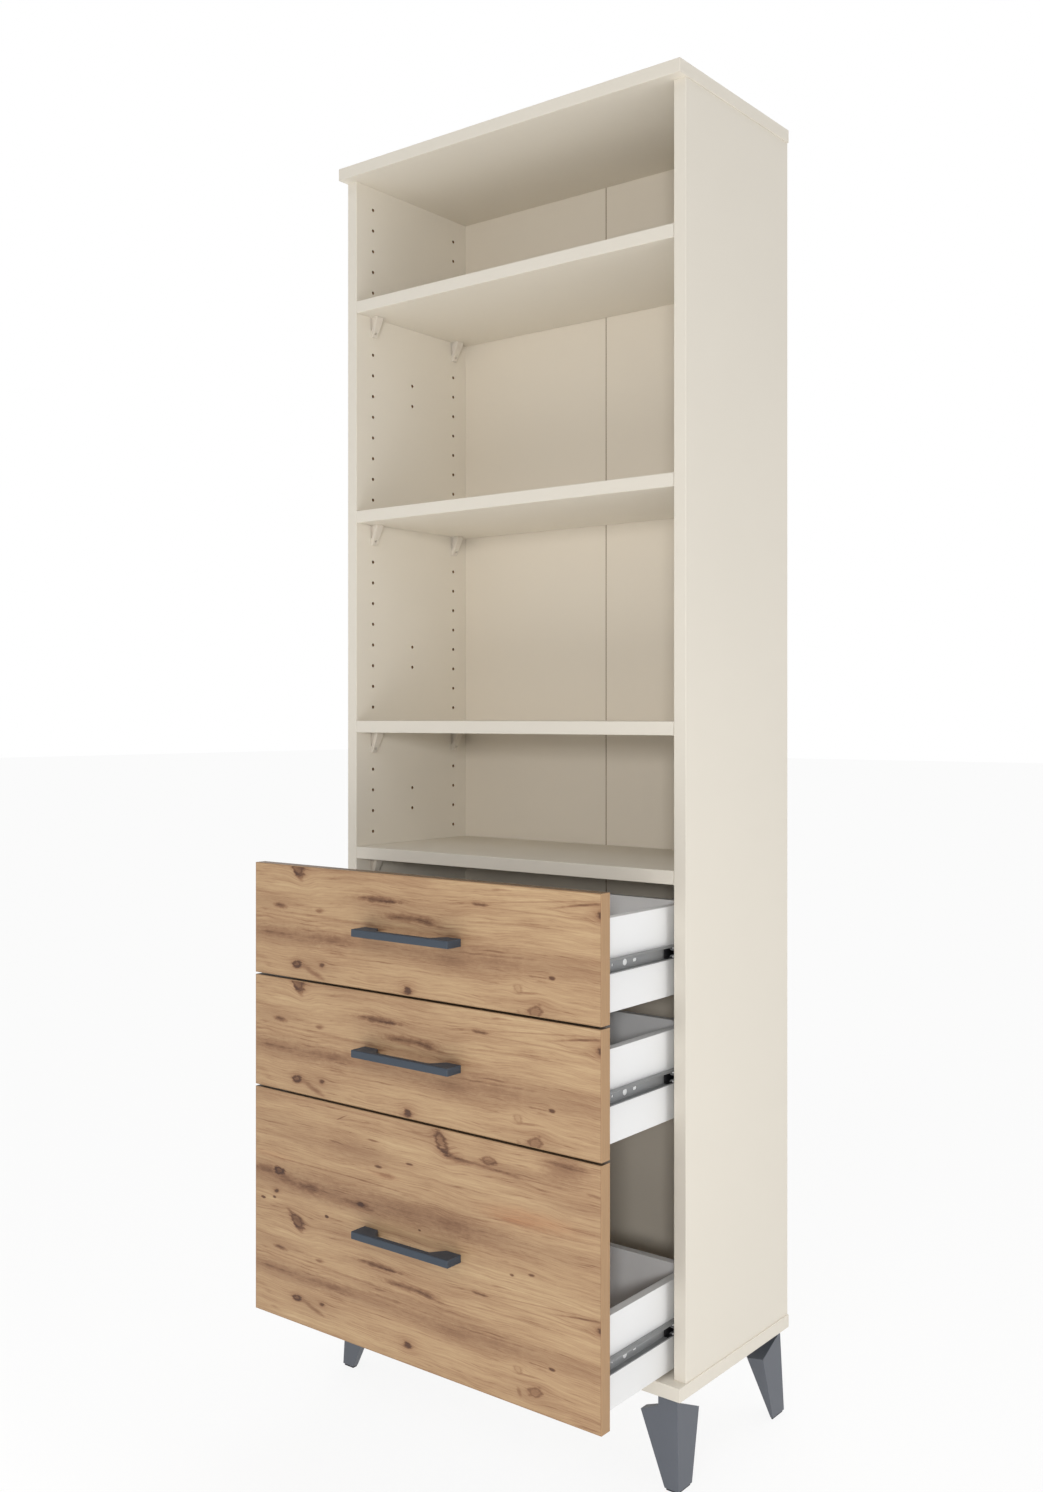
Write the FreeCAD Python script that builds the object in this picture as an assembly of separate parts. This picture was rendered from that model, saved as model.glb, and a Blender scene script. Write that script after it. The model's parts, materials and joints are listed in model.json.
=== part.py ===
import FreeCAD, Part
import math
import os

# Tall open bookcase on four feet, with three drawers in its lower part.
#
# Sizes are millimetres. While it is built, X = 0 is the middle of the width, Y = 0 the front edges of
# the sides (+Y runs back) and Z = 0 the floor. The exported solids are moved along Y only, so that the
# origin lies at the middle of the floor area that the bookcase covers with its drawers pulled out.

V = FreeCAD.Vector

# ------------------------------------------------------------------ driving dimensions: carcass
carcass_width = 600.0       # over the outer faces of the two sides
side_height = 1668.0
side_depth = 278.0
board = 18.0                # sides, top, bottom and shelves
panel_side_lip = 2.0        # top and bottom panels past each side
foot_height = 120.0         # floor to the underside of the bottom panel

back_board = 3.0
back_inset = 14.0           # rear edges of the sides to the back board
back_groove_depth = 6.0
groove_play = 0.3           # groove wider than the board in it, and deeper
back_seam = 0.6             # between the two halves
back_tape_width = 40.0
back_tape = 0.4

shelf_end_play = 0.5        # each end of a shelf to the side
shelf_back_play = 0.8
shelf_shares = {"upper": 26 / 32, "middle": 16 / 32, "lower": 6 / 32, "over_drawers": 0.0}

# ------------------------------------------------------------------ driving dimensions: shelf pins
pin_pitch = 32.0
pin_hole = 5.0
pin_hole_depth = 12.0
pin_front_setback = 37.0
pin_column_spacing = 192.0
pin_top_margin = 25.0       # least distance of the top hole from the side's top edge
fixing_setback = 128.0      # middle column, used in pairs of holes
fixing_shares = (3 / 32, 10 / 32, 23 / 32)

support_width = 10.0
support_reach = 14.0        # under the shelf
support_height = 31.0
support_tip = 3.5           # blunt edge under the shelf
support_foot = 5.0          # thickness at its lower end
support_rounding = 2.5
support_peg = 4.8
support_peg_length = 10.0
support_peg_drop = 25.0     # shelf underside to the peg's axis
support_dimple = 3.6
support_dimple_depth = 2.5

# ------------------------------------------------------------------ driving dimensions: drawers
front_board = 18.0
front_gap = 3.0             # between two fronts
front_floor_gap = 5.0       # bottom panel to the lowest front
front_side_reveal = 1.0     # carcass side to the end of a front
front_shelf_cover = 8.0     # the top front covers this much of the shelf over it
front_closed_gap = 1.0      # a closed front to the edges of the sides
# name, height of the front, height of the box's underside over the front's lower edge
drawers = (
    ("lower", 318.0, -1.0),
    ("middle", 157.0, 3.0),
    ("upper", 157.0, 3.5),
)
box_height = 116.0
box_board = 12.0
box_rear_play = 11.0        # box of a closed drawer to the back board
box_bottom_board = 3.0
box_bottom_rise = 9.0       # underside of the sides to the bottom board
box_groove_depth = 5.0

cam_diameter = 15.0
cam_depth = 9.5
cam_setback = 24.0          # joint to the cam's axis

# ------------------------------------------------------------------ driving dimensions: slides
slide_gap = 12.7            # carcass side to drawer box, filled by the slide
rail_height = 17.0
rail_sheet = 1.0
rail_front_setback = 2.0
ball_radius = 1.5
ball_play = 0.3             # ball to its raceways
rail_play = 0.9             # drawer rail's hook to the web of the carcass rail
hook_wrap = 100.0           # degrees that each rail's hook reaches round the balls
slide_overlap = 70.0        # length still engaged at full travel
slide_reserve = 9.0         # travel left beyond the pulled-out rest position
cage_sheet = 0.8
cage_web_play = 1.0         # web of the drawer rail to the cage's web
cage_play = 0.4             # cage to the rail around it
cage_end_play = 1.0
cage_lip = 0.6              # free edge of the cage's flanges past the ball centres
ball_pitch = 14.0
drawer_rail_screw_head = 8.6
carcass_rail_screw_head = 5.2   # between the hooks of its rail
rail_screw_head_height = 0.5
rail_screw_core = 3.0
rail_screw_length = 10.0
rail_screw_front = 73.0     # rail's front end to the first screw
rail_screw_rear = 28.0      # rail's rear end to the second screw
rail_spare_hole = 4.0
rail_spare_front = 46.0
rail_slot_front = 96.0
rail_slot_length = 9.0
rail_slot_width = 4.4

# ------------------------------------------------------------------ driving dimensions: handles
handle_length = 168.0
handle_projection = 27.0
handle_height = 10.0
handle_bar = 9.0
handle_post_base = 24.0     # width of a post where it meets the front
handle_post_bar = 38.0      # width of a post where it meets the bar
handle_chamfer = 0.8
handle_screw_spacing = 160.0
handle_screw = 4.0
handle_screw_bite = 9.0
handle_hole_rest = 1.0      # hole deeper than its screw
handle_screw_head = 8.0
handle_screw_head_height = 2.4
screw_hole_play = 0.4

# ------------------------------------------------------------------ driving dimensions: feet
foot_plate = 3.0
foot_plate_side = 56.0
foot_plate_inset = 10.0     # outline of the bottom panel to the plate
foot_plate_cut = 18.0       # inner corner taken off the plate
foot_shoulder_drop = 28.0   # underside of the bottom panel to the widest section
foot_glide = 3.0
foot_glide_inset = 1.5
# inset of the outer corner from the panel's outline, width, depth, width of the front end's return,
# width of the side end's return
foot_toe = (5.0, 21.0, 33.0, 10.0, 4.0)
foot_shoulder = (8.2, 56.0, 53.0, 14.0, 24.0)
foot_neck = (12.0, 34.0, 34.0, 18.0, 18.0)
foot_screw_places = ((58.0, 18.0), (18.0, 58.0), (51.0, 51.0))
foot_screw = 3.6
foot_screw_length = 11.0
foot_screw_head = 8.0
foot_screw_head_height = 2.2

# ------------------------------------------------------------------ driving dimensions: joinery
panel_screw = 5.0
panel_screw_length = 50.0
panel_screw_head = 10.0
panel_screw_head_height = 4.0
panel_screw_setbacks = (64.0, 200.0)
dowel = 8.0
dowel_length = 30.0
dowel_cover_depth = 12.0    # share of a dowel in the top or bottom panel
dowel_setbacks = (100.0, 164.0)
joinery_play = 0.2

pin_sides = 8               # shelf pins, cams and their holes are drawn with this many flats
fastener_sides = 6          # screws, dowels and their holes likewise
hook_flats = 4              # flats along the round of a rail's hook
flat_enough = 1e-6          # triple product, mm3, under which four corners lie in one plane

# ------------------------------------------------------------------ derived places
half_width = carcass_width / 2
inner_half = half_width - board
panel_half = half_width + panel_side_lip
bottom_panel_top = foot_height + board
side_bottom = bottom_panel_top
side_top = side_bottom + side_height
side_middle = half_width - board / 2
panel_front = -front_board
back_face = side_depth - back_inset - back_board

box_half = inner_half - slide_gap
box_length = back_face - box_rear_play
rail_length = box_length - rail_front_setback
travel = rail_length - slide_overlap + rail_front_setback
drawer_pull = travel - slide_reserve
front_half = half_width - front_side_reveal

fronts = {}
front_bottom = bottom_panel_top + front_floor_gap
for drawer_name, drawer_front_height, drawer_box_lift in drawers:
    fronts[drawer_name] = (front_bottom, drawer_front_height, front_bottom + drawer_box_lift)
    front_bottom += drawer_front_height + front_gap
fronts_top = front_bottom - front_gap

lowest_pin = fronts_top - front_shelf_cover - support_peg_drop
pin_rows = int((side_top - pin_top_margin - lowest_pin) // pin_pitch) + 1
shelf_rows = {name: round(share * (pin_rows - 1)) for name, share in shelf_shares.items()}
pin_columns = (pin_front_setback, pin_front_setback + pin_column_spacing)

open_front_face = -drawer_pull - front_board
y_middle = (open_front_face - handle_projection + side_depth) / 2

nodes = {}


# ------------------------------------------------------------------ shapes used throughout
def add(name, *solids):
    """Keep one node: a single solid, or a group of separate ones."""
    nodes[name] = solids[0] if len(solids) == 1 else Part.makeCompound(list(solids))


def block(x_low, x_high, y_low, y_high, z_low, z_high):
    return Part.makeBox(x_high - x_low, y_high - y_low, z_high - z_low, V(x_low, y_low, z_low))


def flat_face(points):
    return Part.Face(Part.makePolygon(points + [points[0]]))


def prism(points, sweep):
    """Closed outline swept along a vector."""
    return flat_face(points).extrude(sweep)


def small_round(start, direction, diameter, length, around=False, sides=fastener_sides):
    """Low-sided round bar; around=True is a hole whose flats touch the given diameter."""
    axis = V(direction).normalize()
    across = V(0, 0, 1) if abs(axis.z) < 0.5 else V(1, 0, 0)
    second = axis.cross(across)
    half_step = math.pi / sides
    radius = diameter / 2 / (math.cos(half_step) if around else 1.0)
    corners = []
    for number in range(sides):
        angle = half_step * (2 * number + 1)
        corners.append(start + across * (radius * math.cos(angle)) + second * (radius * math.sin(angle)))
    return prism(corners, axis * length)


def screw(seat, direction, core, length, head, head_height):
    """Screw whose head sits on `seat` and whose shank runs along `direction`."""
    axis = V(direction).normalize()
    shank = small_round(seat, axis, core, length)
    return small_round(seat - axis * head_height, axis, head, head_height).fuse(shank).removeSplitter()


def arc(centre, radius, start, end):
    """Arc in the plane X = 0 about `centre`, from `start` to `end` degrees (0 is +Y, 90 is +Z)."""
    points = []
    for angle in (start, (start + end) / 2, end):
        turn = math.radians(angle)
        points.append(centre + V(0, radius * math.cos(turn), radius * math.sin(turn)))
    return Part.Arc(*points).toShape()


def line(start, end):
    return Part.LineSegment(start, end).toShape()


def mirrored(shape, normal):
    return shape.mirror(V(0, 0, 0), normal)


# ------------------------------------------------------------------ carcass
def panel_screws(seat_z, direction):
    solids = []
    for side in (-1, 1):
        for setback in panel_screw_setbacks:
            seat = V(side * side_middle, setback, seat_z)
            solids.append(screw(seat, direction, panel_screw, panel_screw_length, panel_screw_head,
                                panel_screw_head_height))
    return solids


def panel_screw_holes(seat_z, direction):
    """Stepped holes for the panel screws, heads sunk flush."""
    holes = []
    for side in (-1, 1):
        for setback in panel_screw_setbacks:
            seat = V(side * side_middle, setback, seat_z)
            head_end = seat - V(direction) * panel_screw_head_height
            holes.append(small_round(head_end, direction, panel_screw_head + joinery_play,
                                     panel_screw_head_height, True))
            holes.append(small_round(seat, direction, panel_screw + joinery_play, panel_screw_length, True))
    return holes


def dowel_bars(joint_z, towards_side, diameter, extra, around):
    """Dowels across one horizontal joint; `extra` lengthens them at both ends for the holes."""
    bars = []
    for side in (-1, 1):
        for setback in dowel_setbacks:
            start = V(side * side_middle, setback, joint_z - towards_side * (dowel_cover_depth + extra))
            bars.append(small_round(start, V(0, 0, towards_side), diameter, dowel_length + 2 * extra,
                                    around))
    return bars


def back_groove():
    """Groove for the back board, cut in the sides and in the top and bottom panels."""
    reach = inner_half + back_groove_depth
    return block(-reach, reach, back_face - groove_play / 2, back_face + back_board + groove_play / 2,
                 side_bottom - back_groove_depth, side_top + back_groove_depth)


def joinery_cuts():
    top_seat = side_top + board - panel_screw_head_height
    bottom_seat = foot_height + panel_screw_head_height
    cuts = panel_screw_holes(top_seat, V(0, 0, -1)) + panel_screw_holes(bottom_seat, V(0, 0, 1))
    for joint_z, towards_side in ((side_top, -1), (side_bottom, 1)):
        cuts += dowel_bars(joint_z, towards_side, dowel + joinery_play, joinery_play, True)
    return cuts


def pin_holes():
    """Both columns of shelf-pin holes in the left side, and the pairs of the middle column."""
    holes = []
    start_x = -inner_half
    for row in range(pin_rows):
        for column in pin_columns:
            start = V(start_x, column, lowest_pin + row * pin_pitch)
            holes.append(small_round(start, V(-1, 0, 0), pin_hole, pin_hole_depth, True, pin_sides))
    for share in fixing_shares:
        first_row = round(share * (pin_rows - 1))
        for row in (first_row, first_row + 1):
            start = V(start_x, fixing_setback, lowest_pin + row * pin_pitch)
            holes.append(small_round(start, V(-1, 0, 0), pin_hole, pin_hole_depth, True, pin_sides))
    return holes


def build_carcass():
    cuts = joinery_cuts()
    cuts.append(back_groove())
    for name, z_low in (("top_panel", side_top), ("bottom_panel", foot_height)):
        panel = block(-panel_half, panel_half, panel_front, side_depth, z_low, z_low + board)
        add(name, panel.cut(cuts))
    left = block(-half_width, -inner_half, 0, side_depth, side_bottom, side_top).cut(cuts)
    add("left_side_panel", left.cut(pin_holes()))
    right = block(inner_half, half_width, 0, side_depth, side_bottom, side_top).cut(cuts)
    add("right_side_panel", right.cut([mirrored(hole, V(1, 0, 0)) for hole in pin_holes()]))

    add("top_panel_screws", *panel_screws(side_top + board - panel_screw_head_height, V(0, 0, -1)))
    add("bottom_panel_screws", *panel_screws(foot_height + panel_screw_head_height, V(0, 0, 1)))
    top_dowels = dowel_bars(side_top, -1, dowel, 0, False)
    bottom_dowels = dowel_bars(side_bottom, 1, dowel, 0, False)
    add("panel_dowels", *top_dowels, *bottom_dowels)

    reach = inner_half + back_groove_depth - groove_play
    z_low = side_bottom - back_groove_depth + groove_play
    z_high = side_top + back_groove_depth - groove_play
    half = block(-reach, -back_seam / 2, back_face, back_face + back_board, z_low, z_high)
    add("back_board_left", half)
    add("back_board_right", mirrored(half, V(1, 0, 0)))
    tape_front = back_face + back_board
    add("back_board_tape", block(-back_tape_width / 2, back_tape_width / 2, tape_front,
                                 tape_front + back_tape, side_bottom, side_top))


# ------------------------------------------------------------------ shelves and their supports
def shelf_underside(name):
    return lowest_pin + shelf_rows[name] * pin_pitch + support_peg_drop


def shelf_support(column, top_z):
    """Gusset support on the left side: blunt tip under the shelf, rounded lower end, peg and dimple."""
    corner = V(0, 0, -support_height + support_rounding)
    slope_top = V(0, support_reach, -support_tip)
    slope_foot = V(0, support_foot, -support_height + support_rounding)
    round_middle = slope_foot - V(0, support_rounding, 0)
    outline = [
        line(V(0, 0, 0), V(0, support_reach, 0)),
        line(V(0, support_reach, 0), slope_top),
        line(slope_top, slope_foot),
        arc(round_middle, support_rounding, 0, -90),
        line(round_middle - V(0, 0, support_rounding), corner - V(0, 0, support_rounding)),
        line(corner - V(0, 0, support_rounding), V(0, 0, 0)),
    ]
    gusset = Part.Face(Part.Wire(outline)).extrude(V(support_width, 0, 0))
    # The outline is drawn with Y as the reach; a quarter turn lays the reach along +X.
    gusset.rotate(V(0, 0, 0), V(0, 0, 1), -90)
    gusset.translate(V(-inner_half, column + support_width / 2, top_z))
    peg_axis = V(-inner_half, column, top_z - support_peg_drop)
    slope = (support_reach - support_foot) / (support_height - support_rounding - support_tip)
    slope_reach = support_foot + slope * (support_height - support_rounding - support_peg_drop)
    dimple_start = peg_axis + V(slope_reach - support_dimple_depth, 0, 0)
    dimple = small_round(dimple_start, V(1, 0, 0), support_dimple, 2 * support_dimple_depth, True)
    peg = small_round(peg_axis, V(-1, 0, 0), support_peg, support_peg_length, False, pin_sides)
    return gusset.cut(dimple).fuse(peg).removeSplitter()


def build_shelves():
    supports = []
    end = inner_half - shelf_end_play
    for name in shelf_rows:
        z_low = shelf_underside(name)
        add("shelf_" + name, block(-end, end, 0, back_face - shelf_back_play, z_low, z_low + board))
        for column in pin_columns:
            left = shelf_support(column, z_low)
            supports += [left, mirrored(left, V(1, 0, 0))]
    add("shelf_supports", *supports)


# ------------------------------------------------------------------ feet
def foot_outline(section, z, shrink=0.0):
    """Five-cornered section of a front left foot, counted in from the bottom panel's corner."""
    inset, width, depth, front_return, side_return = section
    corner = V(-panel_half + inset, panel_front + inset, z)
    points = [
        corner + V(shrink, shrink, 0),
        corner + V(width - shrink, shrink, 0),
        corner + V(width - shrink, front_return - shrink / 2, 0),
        corner + V(side_return - shrink / 2, depth - shrink, 0),
        corner + V(shrink, depth - shrink, 0),
    ]
    return points


def faceted(lower, upper):
    """Solid between two outlines; a side whose corners lie in no common plane is folded once."""
    faces = [flat_face(lower), flat_face(upper)]
    for number in range(len(lower)):
        a, b = lower[number - 1], lower[number]
        c, d = upper[number], upper[number - 1]
        if abs((b - a).cross(c - a).dot(d - a)) < flat_enough:
            faces.append(flat_face([a, b, c, d]))
        else:
            faces += [flat_face([a, b, d]), flat_face([b, c, d])]
    return Part.makeSolid(Part.makeShell(faces))


def foot_plate_outline(z):
    low_x = -panel_half + foot_plate_inset
    low_y = panel_front + foot_plate_inset
    far = foot_plate_side
    cut = foot_plate_side - foot_plate_cut
    return [
        V(low_x, low_y, z),
        V(low_x + far, low_y, z),
        V(low_x + far, low_y + cut, z),
        V(low_x + cut, low_y + far, z),
        V(low_x, low_y + far, z),
    ]


def foot_screw_seats():
    seat_z = foot_height - foot_plate
    return [V(-panel_half + across, panel_front + along, seat_z) for across, along in foot_screw_places]


def front_left_foot():
    shoulder_z = foot_height - foot_shoulder_drop
    leg = faceted(foot_outline(foot_toe, foot_glide), foot_outline(foot_shoulder, shoulder_z))
    roof = faceted(foot_outline(foot_shoulder, shoulder_z), foot_outline(foot_neck, foot_height - foot_plate))
    plate = prism(foot_plate_outline(foot_height - foot_plate), V(0, 0, foot_plate))
    foot = leg.fuse([roof, plate]).removeSplitter()
    holes = [small_round(seat, V(0, 0, 1), foot_screw + screw_hole_play, foot_plate, True)
             for seat in foot_screw_seats()]
    return foot.cut(holes)


def build_feet():
    foot = front_left_foot()
    glide = prism(foot_outline(foot_toe, 0.0, foot_glide_inset), V(0, 0, foot_glide))
    fixings = [screw(seat, V(0, 0, 1), foot_screw, foot_screw_length + foot_plate, foot_screw_head,
                     foot_screw_head_height) for seat in foot_screw_seats()]
    # The rear feet mirror the front ones about the middle of the bottom panel.
    middle = V(0, (panel_front + side_depth) / 2, 0)
    glides = []
    screws = []
    for depth_name, to_rear in (("front", False), ("rear", True)):
        for side_name, to_right in (("left", False), ("right", True)):
            placed = []
            for shape in [foot, glide] + fixings:
                if to_rear:
                    shape = shape.mirror(middle, V(0, 1, 0))
                if to_right:
                    shape = mirrored(shape, V(1, 0, 0))
                placed.append(shape)
            add("foot_" + depth_name + "_" + side_name, placed[0])
            glides.append(placed[1])
            screws += placed[2:]
    add("foot_glides", *glides)
    add("foot_screws", *screws)


# ------------------------------------------------------------------ ball-bearing slides
# Sections are drawn in the plane X = 0: Y is the distance from the drawer box towards the carcass side,
# Z the height over the middle of the slide. Each rail is a strip of sheet whose ends hook round the
# balls: the drawer rail from above and outside, the carcass rail from below and inside.
race = ball_radius + ball_play
ball_row = rail_height / 2 - rail_sheet - race
ball_column = slide_gap - 2 * rail_sheet - rail_play - race
cage_web = rail_sheet + cage_web_play
cage_edge = ball_column + cage_lip


def rail_from_half(outline, length):
    """Upper half of a rail's section, doubled downwards and drawn out along the drawer's travel."""
    upper = prism(outline, V(length, 0, 0))
    rail = upper.fuse(mirrored(upper, V(0, 0, 1))).removeSplitter()
    # Section Y becomes +X (towards the carcass side), the draw becomes +Y.
    rail.rotate(V(0, 0, 0), V(0, 0, 1), -90)
    return mirrored(rail, V(0, 1, 0))


def hook_curve(radius, start, end):
    """Round of a hook about the ball centre, from `start` to `end` degrees (0 is +Y, 90 is +Z)."""
    points = []
    for number in range(hook_flats + 1):
        turn = math.radians(start + (end - start) * number / hook_flats)
        points.append(V(0, ball_column + radius * math.cos(turn), ball_row + radius * math.sin(turn)))
    return points


def drawer_rail():
    lip = 90 - hook_wrap
    half = rail_height / 2
    outline = [V(0, 0, 0), V(0, 0, half)]
    outline += hook_curve(race + rail_sheet, 90, lip)
    outline += hook_curve(race, lip, 90)
    outline += [V(0, rail_sheet, half - rail_sheet), V(0, rail_sheet, 0)]
    rail = rail_from_half(outline, rail_length)
    through = V(1, 0, 0)
    depth = rail_sheet
    holes = [
        small_round(V(0, rail_screw_front, 0), through, rail_screw_core + screw_hole_play, depth, True),
        small_round(V(0, rail_length - rail_screw_rear, 0), through, rail_screw_core + screw_hole_play,
                    depth, True),
        small_round(V(0, rail_spare_front, 0), through, rail_spare_hole, depth, True),
        block(0, depth, rail_slot_front - rail_slot_length / 2, rail_slot_front + rail_slot_length / 2,
              -rail_slot_width / 2, rail_slot_width / 2),
    ]
    return rail.cut(holes)


def carcass_rail():
    lip = -90 - hook_wrap
    web = slide_gap - rail_sheet
    outline = [V(0, slide_gap, 0), V(0, slide_gap, ball_row - race)]
    outline += hook_curve(race, -90, lip)
    outline += hook_curve(race + rail_sheet, lip, -90)
    outline += [V(0, web, ball_row - race - rail_sheet), V(0, web, 0)]
    rail = rail_from_half(outline, rail_length)
    holes = [small_round(V(web, place, 0), V(1, 0, 0), rail_screw_core + screw_hole_play, rail_sheet, True)
             for place in (rail_screw_front, rail_length - rail_screw_rear)]
    return rail.cut(holes)


def rail_screws(seat_x, direction, head):
    return [screw(V(seat_x, place, 0), direction, rail_screw_core, rail_screw_length, head,
                  rail_screw_head_height)
            for place in (rail_screw_front, rail_length - rail_screw_rear)]


cage_length = slide_overlap - rail_front_setback
cage_top = rail_height / 2 - rail_sheet - cage_play


def ball_cage():
    """C-shaped cage whose flanges have an open pocket for every ball."""
    upper = [
        V(0, 0, 0),
        V(0, 0, cage_top),
        V(cage_edge - cage_web, 0, cage_top),
        V(cage_edge - cage_web, 0, cage_top - cage_sheet),
        V(cage_sheet, 0, cage_top - cage_sheet),
        V(cage_sheet, 0, 0),
    ]
    length = cage_length - 2 * cage_end_play
    half = prism(upper, V(0, length, 0))
    cage = half.fuse(mirrored(half, V(0, 0, 1))).removeSplitter()
    count = int((length - ball_pitch / 2) // ball_pitch)
    first = (length - (count - 1) * ball_pitch) / 2
    pocket_start = ball_column - race - cage_web
    pockets = []
    for number in range(count):
        middle = first + number * ball_pitch
        for low, high in ((-cage_top, cage_sheet - cage_top), (cage_top - cage_sheet, cage_top)):
            pockets.append(block(pocket_start, cage_edge - cage_web, middle - race, middle + race,
                                 low, high))
    return cage.cut(pockets)


def slide_pair(shape, y, z):
    """A right-hand slide piece set in place, and its mirror image on the left."""
    right = shape.copy()
    right.translate(V(box_half, y, z))
    return [right, mirrored(right, V(1, 0, 0))]


# ------------------------------------------------------------------ drawers
def handle(face_y, middle_z):
    """Flat bar with two solid posts whose inner sides slope outwards towards the front."""
    half = handle_length / 2
    bar_back = handle_projection - handle_bar
    points = [(-half, 0), (-half, handle_projection), (half, handle_projection), (half, 0),
              (half - handle_post_base, 0), (half - handle_post_bar, bar_back),
              (handle_post_bar - half, bar_back), (handle_post_base - half, 0)]
    corners = [V(x, face_y - y, middle_z - handle_height / 2) for x, y in points]
    body = prism(corners, V(0, 0, handle_height))
    tip = face_y - handle_projection
    outer_edges = [edge for edge in body.Edges
                   if all(abs(vertex.Y - tip) < 1e-6 for vertex in edge.Vertexes)]
    body = body.makeChamfer(handle_chamfer, outer_edges)
    holes = [small_round(V(side * handle_screw_spacing / 2, face_y, middle_z), V(0, -1, 0), handle_screw,
                         handle_screw_bite + handle_hole_rest, True) for side in (-1, 1)]
    return body.cut(holes)


def box_bottom_space(z_low, y_front, y_rear, play):
    """The drawer's bottom board, or with play the groove for it."""
    reach = box_half - box_board + box_groove_depth + play
    return block(-reach, reach, y_front - box_groove_depth - play,
                 y_rear - box_board + box_groove_depth + play,
                 z_low + box_bottom_rise - play / 2, z_low + box_bottom_rise + box_bottom_board + play / 2)


def cam_places(z_middle, y_front, y_rear):
    """Axis start and direction of each cam: in the sides near the front, in the back near its ends."""
    inner = box_half - box_board
    places = []
    for side in (-1, 1):
        places.append((V(side * inner, y_front + cam_setback, z_middle), V(side, 0, 0)))
        places.append((V(side * (inner - cam_setback), y_rear - box_board, z_middle), V(0, 1, 0)))
    return places


def build_drawer(name):
    z_low, height, box_z = fronts[name]
    prefix = "drawer_" + name + "_"
    y_front = -drawer_pull
    y_rear = y_front + box_length
    face_y = y_front - front_board
    middle_z = z_low + height / 2
    groove = box_bottom_space(box_z, y_front, y_rear, groove_play)

    screws = []
    screw_holes = []
    for side in (-1, 1):
        seat = V(side * handle_screw_spacing / 2, y_front, middle_z)
        screws.append(screw(seat, V(0, -1, 0), handle_screw, front_board + handle_screw_bite,
                            handle_screw_head, handle_screw_head_height))
        screw_holes.append(small_round(seat, V(0, -1, 0), handle_screw + screw_hole_play, front_board,
                                       True))
    front = block(-front_half, front_half, face_y, y_front, z_low, z_low + height)
    add(prefix + "front", front.cut(screw_holes + [groove]))
    add(prefix + "handle", handle(face_y, middle_z))
    add(prefix + "handle_screws", *screws)

    cams = []
    cam_pockets = []
    for start, direction in cam_places(box_z + box_height / 2, y_front, y_rear):
        cams.append(small_round(start, direction, cam_diameter - joinery_play, cam_depth, False, pin_sides))
        cam_pockets.append(small_round(start, direction, cam_diameter, cam_depth, True, pin_sides))
    box_top = box_z + box_height
    side = block(box_half - box_board, box_half, y_front, y_rear, box_z, box_top)
    add(prefix + "right_side", side.cut(cam_pockets + [groove]))
    add(prefix + "left_side", mirrored(side, V(1, 0, 0)).cut(cam_pockets + [groove]))
    inner = box_half - box_board
    back = block(-inner, inner, y_rear - box_board, y_rear, box_z, box_top)
    add(prefix + "back", back.cut(cam_pockets + [groove]))
    add(prefix + "bottom", box_bottom_space(box_z, y_front, y_rear, 0.0))
    add(prefix + "cam_locks", *cams)

    slide_z = box_z + box_height / 2
    rail_y = y_front + rail_front_setback
    add(prefix + "rails", *slide_pair(drawer_rail(), rail_y, slide_z))
    fixings = []
    for fixing in rail_screws(rail_sheet, V(-1, 0, 0), drawer_rail_screw_head):
        fixings += slide_pair(fixing, rail_y, slide_z)
    add(prefix + "rail_screws", *fixings)

    # The cage runs at half the drawer's speed, so it lies half-way between its closed and open places.
    cage_y = rail_front_setback + (travel - drawer_pull) / 2 + cage_end_play
    cage = ball_cage()
    cage.translate(V(cage_web, 0, 0))
    add("ball_cages_" + name, *slide_pair(cage, cage_y, slide_z))
    add("carcass_rails_" + name, *slide_pair(carcass_rail(), rail_front_setback, slide_z))
    fixings = []
    for fixing in rail_screws(slide_gap - rail_sheet, V(1, 0, 0), carcass_rail_screw_head):
        fixings += slide_pair(fixing, rail_front_setback, slide_z)
    return fixings


build_carcass()
build_shelves()
build_feet()
carcass_rail_screws = []
for drawer_name in fronts:
    carcass_rail_screws += build_drawer(drawer_name)
add("carcass_rail_screws", *carcass_rail_screws)

os.makedirs("parts", exist_ok=True)
for node_name, shape in nodes.items():
    moved = shape.copy()
    moved.translate(V(0, -y_middle, 0))
    moved.exportStep("parts/" + node_name + ".step")
print(len(nodes), "nodes; y_middle", y_middle, "travel", travel, "pull", drawer_pull)
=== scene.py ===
import json
import math

import bmesh
import bpy
from mathutils import Matrix, Vector

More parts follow.
